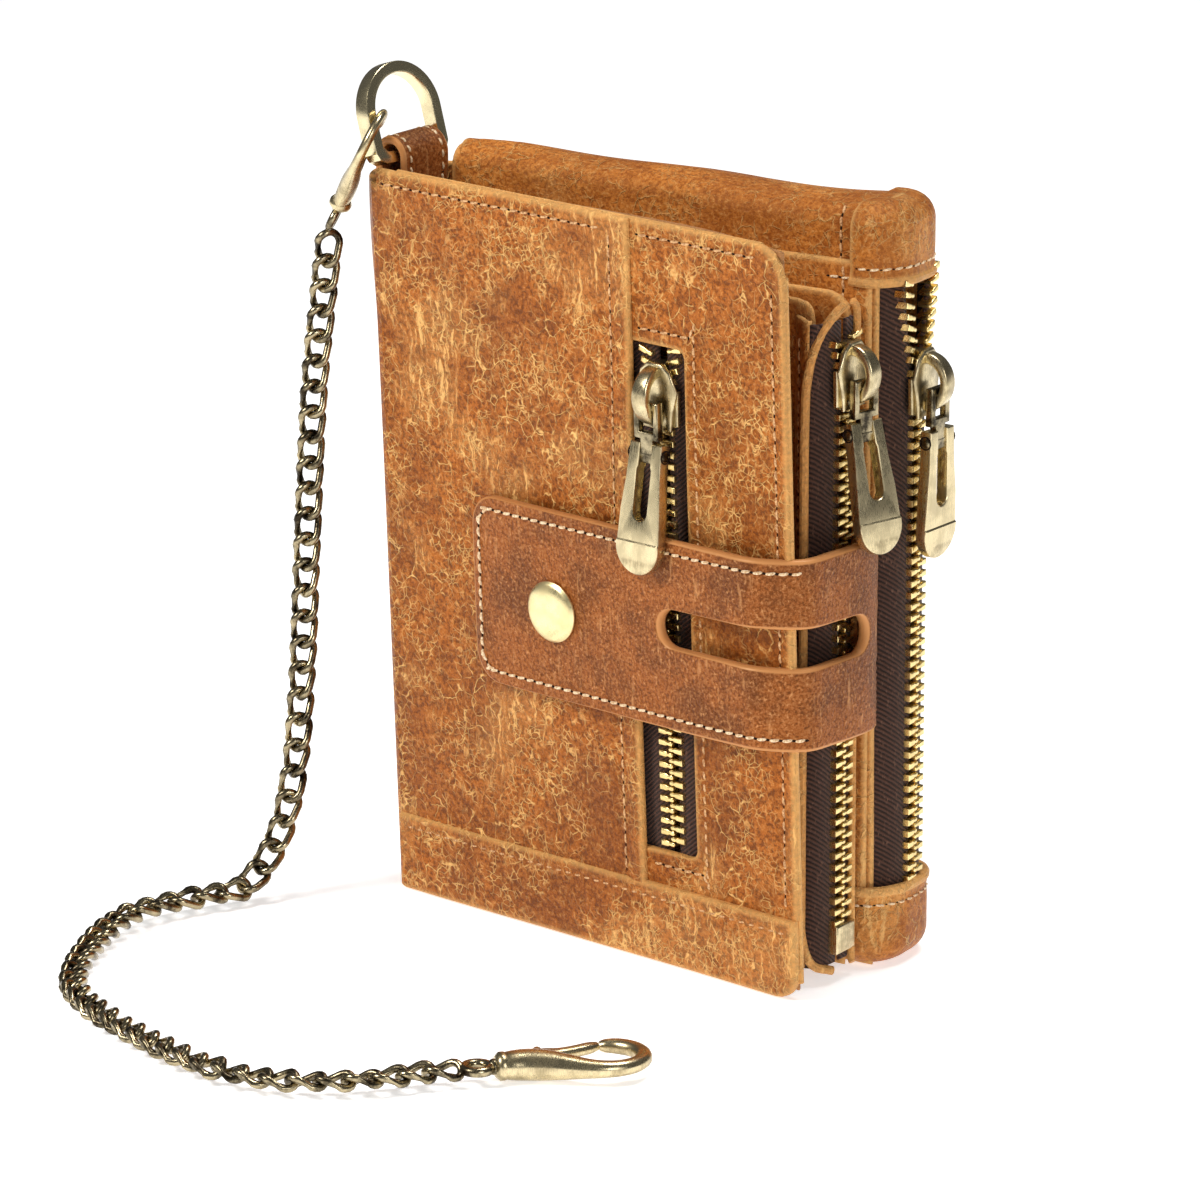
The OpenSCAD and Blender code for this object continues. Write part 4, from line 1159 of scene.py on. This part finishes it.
def build_strap():
    plans = {}

    def surface(a, b):
        a, b = as_floats(a, b)
        spot = np.empty(a.shape + (3,))
        out = np.empty(a.shape + (3,))
        for k, (s, height) in enumerate(zip(a.reshape(-1), b.reshape(-1))):
            key = round(float(height) * 2) / 2
            if key not in plans:
                plans[key] = strap_plan(key)
            plan = plans[key]
            where = np.array([s - STRAP_LEFT])
            p, w = plan.at(where)[0], plan.direction(where)[0]
            spot.reshape(-1, 3)[k] = (p[0], p[1], height)
            out.reshape(-1, 3)[k] = (w[1], -w[0], 0)
        return spot, out

    end = STRAP_LEFT + strap_plan(SLOT_MIDDLE).length - 0.5
    slot_end = STRAP_LEFT + 82.0
    slot_left = SLOT_LEFT + SLOT_R
    r = STRAP_R
    outline = np.concatenate([
        line((STRAP_LEFT, STRAP_LOW + r), (STRAP_LEFT, STRAP_HIGH - r), 14)[:-1],
        arc((STRAP_LEFT + r, STRAP_HIGH - r), r, 180, 90, 9)[:-1],
        line((STRAP_LEFT + r, STRAP_HIGH), (end, STRAP_HIGH), 90)[:-1],
        line((end, STRAP_HIGH), (end, STRAP_LOW), 18)[:-1],
        line((end, STRAP_LOW), (STRAP_LEFT + r, STRAP_LOW), 90)[:-1],
        arc((STRAP_LEFT + r, STRAP_LOW + r), r, 270, 180, 9)[:-1]])
    slot = np.concatenate([
        arc((slot_left, SLOT_MIDDLE), SLOT_R, 215, 145, 14)[:-1],
        arc((slot_left, SLOT_MIDDLE), SLOT_R, 145, 90, 9)[:-1],
        line((slot_left, SLOT_MIDDLE + SLOT_R), (slot_end, SLOT_MIDDLE + SLOT_R), 90)[:-1],
        arc((slot_end, SLOT_MIDDLE), SLOT_R, 90, -90, 18)[:-1],
        line((slot_end, SLOT_MIDDLE - SLOT_R), (slot_left, SLOT_MIDDLE - SLOT_R), 90)[:-1],
        arc((slot_left, SLOT_MIDDLE), SLOT_R, 270, 215, 9)[:-1]])
    a, b, inside = strip_grid(slot, outline, 12, (0.12, 0.35, 0.7, 1.2))
    strap = add_sheet("strap_leather", PLACED, a, b, inside, surface, 2.0, STRAP, "strap",
                      ["strap"], 0.75, closed=True, ride=False, rim_width=1.25)
    seam = 2.1
    corner = STRAP_R - seam
    stop = STRAP_LEFT + 70
    route = np.concatenate([
        [(stop, STRAP_LOW + seam), (60, STRAP_LOW + seam)],
        arc((STRAP_LEFT + r, STRAP_LOW + r), corner, 270, 180, 7),
        arc((STRAP_LEFT + r, STRAP_HIGH - r), corner, 180, 90, 7),
        [(60, STRAP_HIGH - seam), (stop, STRAP_HIGH - seam)]])
    pieces = add_stitches("strap_seam", PLACED, route, surface, CREAM, "strap", 2.05, 0.23, 0.76,
                          hole=0.30, ride=False)
    for piece in [strap] + pieces:
        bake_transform(piece)

    dome = [(0, -1.55)]
    dome += [(4.9 * math.sin(t), -0.55 - 1.0 * math.cos(t)) for t in np.radians(np.linspace(12, 84, 10))]
    dome += [(5.05, -0.50), (5.08, -0.30), (4.95, -0.12), (4.4, -0.02), (4.0, 0.35), (0, 0.4)]
    spot = shifted(COVER, (SNAP_U, STRAP_OUT - 0.05, SNAP_W))
    points, faces = turned(dome, 72)
    rim = np.abs(np.hypot(points[:, 0], points[:, 2]) - 4.95) < 0.3
    add_mesh("snap_cap_dome", points, faces, spot, SNAP, "strap", ["snap_cap"],
             edge=rim.astype(float), crease=40)
    collar = [(0, -0.9), (1.2, -0.85), (1.6, -0.5), (2.3, -0.55), (2.9, -0.45), (3.0, -0.1), (3.0, 0.1),
              (0, 0.1)]
    points, faces = turned(collar, 48)
    add_mesh("snap_stud_disc", points, faces, shifted(COVER, (40, 0, 57.2)), BRASS, "front_cover",
             ["snap_stud"], crease=35)


# ---- zip pullers -------------------------------------------------------------------------------

LINK_HALF = 2.55
TAB_LEN = 21.2
TAB_HALF = 4.5
TAB_TOP = 1.8
TAB_CREASE = -14.0
TILTS = {"front": 10.5, "page": 13, "back": 0}


def turned_z(points):
    """A plate drawn in xz, turned to lie in yz."""
    return np.stack([-points[:, 1], points[:, 0], points[:, 2]], -1)


def cut_across(points, faces, height):
    """Cuts a mesh by a level plane, so that it can be bent there."""
    work = bmesh.new()
    vertices = [work.verts.new(p) for p in points]
    for face in faces:
        work.faces.new([vertices[v] for v in face])
    everything = list(work.verts) + list(work.edges) + list(work.faces)
    bmesh.ops.bisect_plane(work, geom=everything, plane_co=(0, 0, height), plane_no=(0, 0, 1), dist=1e-4)
    work.verts.index_update()
    result = (np.array([v.co[:] for v in work.verts]), [tuple(v.index for v in f.verts) for f in work.faces])
    work.free()
    return result


def slider_parts():
    shield = [(-3.1, -5.6), (3.1, -5.6), (3.5, -2.5), (4.35, 0.9), (3.7, 2.4), (3.1, 4.0), (1.5, 5.3),
              (-1.5, 5.3), (-3.1, 4.0), (-3.7, 2.4), (-4.35, 0.9), (-3.5, -2.5)]
    front, faces = cut_shape([shield], 1.2, 0.35)
    front[:, 1] += -2.05 + 0.06 * np.abs(front[:, 0]) ** 1.5 * (front[:, 1] < 0)
    parts = [(front, faces)]
    plate = [(-2.9, -5.6), (2.9, -5.6), (2.9, 4.2), (1.5, 5.2), (-1.5, 5.2), (-2.9, 4.2)]
    back, faces = cut_shape([plate], 0.8, 0.25)
    parts.append((back + [0, 1.9, 0], faces))
    for side in (-1, 1):
        corners = [(side * 2.9, -5.2), (side * 4.05, -4.8), (side * 4.2, 1.0), (side * 3.2, 1.0)]
        flange, faces = cut_shape([corners[::side]], 0.9, 0.25)
        parts.append((flange + [0, -1.15, 0], faces))
    post, faces = cut_shape([[(-0.7, 3.0), (0.7, 3.0), (1.0, 5.1), (-1.0, 5.1)]], 3.6, 0.25)
    parts.append((post, faces))
    outer = [(-2.2 - 4.2 * math.cos(t), 4.8 * math.sin(t)) for t in np.radians(np.linspace(-90, 90, 25))]
    inner = [(-2.2 - 2.75 * math.cos(t), 0.1 + 3.0 * math.sin(t))
             for t in np.radians(np.linspace(90, -90, 19))]
    bridge, faces = cut_shape([outer + inner], 2.5, 0.4)
    wide = 1 + 0.22 * np.cos(np.clip(bridge[:, 2] / 4.8, -1, 1) * np.pi / 2)
    bridge[:, 1] *= wide
    parts.append((turned_z(bridge), faces))
    return joined(parts)


def build_puller(word, zip_frame, link_joint, tab_joint, up_axis):
    height = place_of(link_joint, zip_frame).z + LINK_DROP
    points, faces = slider_parts()
    add_mesh(word + "_zip_slider", points, faces, shifted(zip_frame, (0, 0, height)), BRASS,
             word + "_zip_slider", [word + "_slider"], crease=32)

    across = -Vector(JOINTS[link_joint]["axis"])
    hang = frame_at(JOINTS[link_joint]["pos_m"], across, up_axis)
    half = LINK_HALF
    ring = [(-half, 0.7), (half, 0.7), (half, -5.5), (1.25, -5.5), (1.25, -9.4), (-1.25, -9.4), (-1.25, -5.5),
            (-half, -5.5)]
    hole = [(-1.55, -0.65), (-1.55, -4.3), (1.55, -4.3), (1.55, -0.65)]
    points, faces = cut_shape([ring, hole], 1.5, 0.32)
    add_mesh(word + "_zip_link", points, faces, hang, BRASS_DARK, word + "_zip_link",
             [word + "_link"], crease=32)

    pivot = shifted(frame_at(JOINTS[tab_joint]["pos_m"], across, up_axis), (0, 0, 0), -TILTS[word], "X")
    low = TAB_HALF - TAB_LEN + TAB_TOP
    outline = [(1.25, TAB_TOP), (3.35, TAB_TOP), (3.6, -4.0), (4.15, -9.0)]
    outline += [tuple(p) for p in arc((0, low), TAB_HALF, 8, -188, 33)]
    outline += [(-4.15, -9.0), (-3.6, -4.0), (-3.35, TAB_TOP), (-1.25, TAB_TOP), (-1.25, -1.9), (-1.5, -2.5)]
    outline += [tuple(p) for p in arc((0, -9.2), 1.5, 180, 360, 15)]
    outline += [(1.5, -2.5), (1.25, -1.9)]
    points, faces = cut_shape([outline], 2.2, 0.34)
    points, faces = cut_across(points, faces, TAB_CREASE)
    points, faces = cut_across(points, faces, TAB_CREASE - 0.5)
    below = np.clip(TAB_CREASE - points[:, 2], 0, 9)
    front = points[:, 1] < 0
    notch = (np.abs(points[:, 2] - TAB_CREASE) < 0.01) * 0.22
    points[:, 1] += np.where(front, 0.11 * below + notch, 0)
    edge = (np.abs(np.abs(points[:, 1]) - 1.0) < 0.25).astype(float)
    add_mesh(word + "_zip_tab", points, faces, pivot, BRASS, word + "_zip_tab",
             [word + "_tab"], edge=edge, crease=25)
    pin = [(0, -3.66), (0.55, -3.64), (0.78, -3.5), (0.80, -3.3), (0.80, 3.3), (0.78, 3.5), (0.55, 3.64),
           (0, 3.66)]
    points, faces = turned(pin, 24)
    add_mesh(word + "_zip_pin", turned_z(points), faces, pivot, BRASS_DARK, word + "_zip_tab",
             [word + "_pin"], crease=40)
    # a thin dark ring round each end of the pin, where it goes into the tab: painted shade in the gap
    for side in (-1, 1):
        turn = np.linspace(0, 2 * np.pi, 24, endpoint=False)
        ring = np.stack([np.full(24, side * 3.52), 1.0 * np.cos(turn), 1.0 * np.sin(turn)], -1)
        points, faces = tube(ring, 0.13, 6, closed=True)
        add_mesh(word + "_zip_pin_seat_shade_" + ("left" if side < 0 else "right"), points, faces, pivot, HOLE_SHADE,
                 word + "_zip_tab", crease=60)


# ---- ring and its leather loop -----------------------------------------------------------------

RING_R = 8.3
RING_INNER = 6.4
RING_W = 2.9
RING_RISE = 6.9
RING_LEAN = -17
LOOP_R = 3.7
LOOP_SEAM = 1.4
LOOP_FRONT = -4.2
LOOP_BACK = 5.6


def build_ring():
    axis = Vector(JOINTS["ring_swing"]["axis"])
    on_bar = frame_at(JOINTS["ring_swing"]["pos_m"], axis.cross((0, 0, 1)), (0, 0, 1))
    outer = [tuple(p) for p in arc((0, RING_RISE), RING_R, 0, 180, 60)]
    outer += [(-RING_R, 0.9), (-RING_R + 0.6, -0.2), (-6.4, -0.95), (6.4, -0.95), (RING_R - 0.6, -0.2),
              (RING_R, 0.9)]
    inner = [tuple(p) for p in arc((0, RING_RISE), RING_INNER, 180, 0, 52)]
    inner += [(RING_INNER, 1.9), (RING_INNER - 0.9, 0.95), (0.9 - RING_INNER, 0.95), (-RING_INNER, 1.9)]
    points, faces = cut_shape([outer, inner], RING_W, 0.2)
    ring_points = turned_z(points)
    edge = (np.abs(np.abs(ring_points[:, 0]) - (RING_W / 2 - 0.1)) < 0.12).astype(float)
    add_mesh("chain_ring", ring_points, faces, shifted(on_bar, (0, 0, 0), RING_LEAN, "Y"), RING_METAL,
             "ring", ["ring"], edge=edge, crease=25)

    over = arc((0, 0), LOOP_R, 180, 0, 15)
    path = Path(np.concatenate([[(0.7 - LOOP_R, -11.8), (0.1 - LOOP_R, -6)], over,
                                [(LOOP_R, -6), (LOOP_R - 0.4, -11.8)]]), 6)

    def surface(a, b):
        a, b = as_floats(a, b)
        spot, way = path.at(a), path.direction(a)
        spot = spot * (1 + 0.012 * b * (spot[..., 1] > -3))[..., None]
        out = np.stack([-way[..., 1], np.zeros_like(b), way[..., 0]], -1)
        groove = 0.18 * (np.exp(-((b - LOOP_FRONT - LOOP_SEAM) / 0.4) ** 2)
                         + np.exp(-((b - LOOP_BACK + LOOP_SEAM) / 0.4) ** 2))
        point = np.stack([spot[..., 0], b, spot[..., 1]], -1) - out * groove[..., None]
        return point, out

    a, b, inside = box_grid((0, path.length), (LOOP_FRONT, LOOP_BACK), 0.8)
    add_sheet("ring_loop_leather", on_bar, a, b, inside, surface, 1.4, STRAP, "back_leaf",
              ["ring_loop"], 0.5, rim_width=0.8)
    for word, depth in (("near", LOOP_FRONT + LOOP_SEAM), ("far", LOOP_BACK - LOOP_SEAM)):
        route = [(3, depth), (path.length / 2, depth), (path.length - 3, depth)]
        add_stitches("ring_loop_seam_" + word, on_bar, route, surface, CREAM, "back_leaf", 1.9, 0.2,
                     hole=0.22)


# ---- clasps and chain --------------------------------------------------------------------------

# The clasp's rods: how far along, how far across and the rod's radius there, as shares of its size
CLAW = [(0.00, 0.00, 0.080), (0.07, 0.00, 0.100), (0.18, -0.01, 0.108), (0.30, -0.05, 0.105),
        (0.42, -0.115, 0.088), (0.53, -0.175, 0.070), (0.64, -0.215, 0.060), (0.75, -0.222, 0.056),
        (0.86, -0.175, 0.055), (0.935, -0.08, 0.056), (0.95, 0.03, 0.056), (0.91, 0.13, 0.056),
        (0.83, 0.20, 0.054), (0.75, 0.225, 0.046), (0.715, 0.228, 0.030)]
LEVER = [(0.20, 0.060, 0.030), (0.25, 0.105, 0.058), (0.33, 0.125, 0.060), (0.43, 0.140, 0.048),
         (0.54, 0.168, 0.046), (0.64, 0.205, 0.046), (0.70, 0.232, 0.034)]
THUMB = [(0.27, 0.13, 0.020), (0.285, 0.175, 0.034), (0.30, 0.215, 0.036), (0.31, 0.235, 0.020)]


def bent_rod(rows, size, flat, sides=14):
    """A rod of changing thickness in the clasp's plane, flattened across it."""
    path = Path(np.array(rows) * size, 8)
    p = path.at(np.linspace(0, path.length, len(rows) * 5))
    spine = np.stack([p[:, 0], p[:, 1], np.zeros(len(p))], -1)
    points, faces = tube(spine, p[:, 2], sides)
    points[:, 2] *= flat
    return points, faces


def build_clasp(word, size, flat, turn_joint, press_joint, body):
    base = frame_at(JOINTS[turn_joint]["pos_m"], JOINTS[turn_joint]["axis"],
                    -Vector(JOINTS[press_joint]["axis"]))
    collar = turned([(0, -0.03 * size), (0.07 * size, -0.028 * size), (0.095 * size, 0),
                     (0.095 * size, 0.03 * size), (0.08 * size, 0.06 * size), (0, 0.06 * size)], 28)
    collar_points = np.stack([collar[0][:, 1], -collar[0][:, 0], collar[0][:, 2]], -1)
    points, faces = joined([bent_rod(CLAW, size, flat), (collar_points, collar[1])])
    clasp = add_mesh(word + "_clasp_claw", points, faces, base, BRASS, body,
                     [word + "_clasp_body"], crease=50)
    points, faces = joined([bent_rod(LEVER, size, flat * 0.9), bent_rod(THUMB, size, flat * 1.1)])
    lever = add_mesh(word + "_clasp_gate", points, faces, base, BRASS, word + "_clasp_lever",
                     [word + "_clasp_trigger"], crease=50)
    turn = np.linspace(0, 2 * np.pi, 36, endpoint=False)
    eye = np.stack([-0.145 * size + 0.088 * size * np.cos(turn), 0.088 * size * np.sin(turn), 0 * turn], -1)
    post = [(-0.062 * size, 0, 0), (-0.045 * size, 0, 0), (0.0, 0, 0), (0.02 * size, 0, 0)]
    points, faces = joined([tube(eye, 0.034 * size, 12, closed=True),
                            tube(post, size * np.array([0.045, 0.055, 0.05, 0.03]), 16)])
    swivel = add_mesh(word + "_clasp_eyelet", points, faces, base, BRASS_DARK, word + "_clasp_eye",
                      [word + "_clasp_swivel"], crease=50)
    return [clasp, lever, swivel]


# The chain's route from the small clasp down to the floor and on to the large clasp, in metres from
# the foot of the spine: the same points as in the CAD model
CHAIN_ROUTE = [
    (-0.0122, -0.0012, 0.1106), (-0.0136, -0.001, 0.101), (-0.0154, -0.0015, 0.0835), (-0.016, -0.003, 0.060),
    (-0.0154, -0.006, 0.038), (-0.0146, -0.010, 0.022), (-0.0155, -0.014, 0.0105), (-0.018, -0.020, 0.0034),
    (-0.0215, -0.026, 0.0027), (-0.025, -0.032, 0.0026), (-0.0275, -0.040, 0.0026), (-0.0265, -0.049, 0.0026),
    (-0.024, -0.058, 0.0026), (-0.0205, -0.067, 0.0026), (-0.016, -0.075, 0.0026), (-0.010, -0.081, 0.0026),
    (-0.0025, -0.086, 0.0026), (0.006, -0.0905, 0.0026), (0.016, -0.095, 0.0026), (0.026, -0.098, 0.0026),
    (0.036, -0.098, 0.0026), (0.045, -0.094, 0.0026), (0.051, -0.0885, 0.0026), (0.055, -0.0836, 0.0026),
    (0.0584, -0.0806, 0.0026)]
LINK_PITCH = 4.35
LINK_WIRE = 0.66
LINK_HALF_W = 1.78
LINK_TWIST = 43


def chain_link():
    """One curb link: a stadium of round wire, twisted about its length so that its neighbours lie flat."""
    straight = (LINK_PITCH + 2 * LINK_WIRE) / 2 - LINK_HALF_W
    right = arc((straight, 0), LINK_HALF_W, -90, 90, 11)
    left = arc((-straight, 0), LINK_HALF_W, 90, 270, 11)
    flat = np.concatenate([right, left])
    reach = straight + LINK_HALF_W
    turn = np.radians(LINK_TWIST) * flat[:, 0] / reach
    centre = np.stack([flat[:, 0], flat[:, 1] * np.cos(turn), flat[:, 1] * np.sin(turn)], -1)
    return tube(centre, LINK_WIRE, 8, closed=True)


def build_chain():
    path = Path(np.array(CHAIN_ROUTE) * 1000, 12)
    count = int(round(path.length / LINK_PITCH))
    step = path.length / count
    link, faces = chain_link()
    side = np.array([1.0, 0.25, 0.0])
    parts = []
    for k in range(count):
        s = np.array([(k + 0.5) * step])
        way = path.direction(s, 1.5)[0]
        flat = np.cross(way, [0, 0, 1.0])
        level = 1 - abs(way[2])
        side = side * (1 - 0.35 * level) + flat * 0.35 * level * np.sign(np.dot(flat, side) or 1)
        side = side - way * np.dot(side, way)
        side = side / np.linalg.norm(side)
        rise = np.cross(way, side)
        roll = math.radians(random.uniform(-11, 11))
        turned_side = side * math.cos(roll) + rise * math.sin(roll)
        turned_rise = np.cross(way, turned_side)
        spun = link @ np.stack([way, turned_side, turned_rise])
        parts.append((path.at(s)[0] + spun, faces))
    points, faces = joined(parts)
    chain = add_mesh("curb_chain", points, faces, PLACED, BRASS_DARK, "back_leaf", ["chain"],
                     crease=60, ride=False)
    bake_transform(chain)


small_clasp = build_clasp("small", 19.6, 0.72, "small_clasp_turn", "small_clasp_press", "ring")
large_clasp = build_clasp("large", 24.0, 0.95, "large_clasp_turn", "large_clasp_press", "back_leaf")
build_chain()
build_ring()
build_cover()
build_front_zip()
build_spine()
build_back_pocket()
build_page()
build_strap()
build_puller("front", FRONT_ZIP, "front_link_swing", "front_tab_swing", JOINTS["front_zip_run"]["axis"])
build_puller("page", PAGE_ZIP, "page_link_swing", "page_tab_swing", (0, 0, 1))
build_puller("back", BACK_ZIP, "back_link_swing", "back_tab_swing", (0, 0, 1))
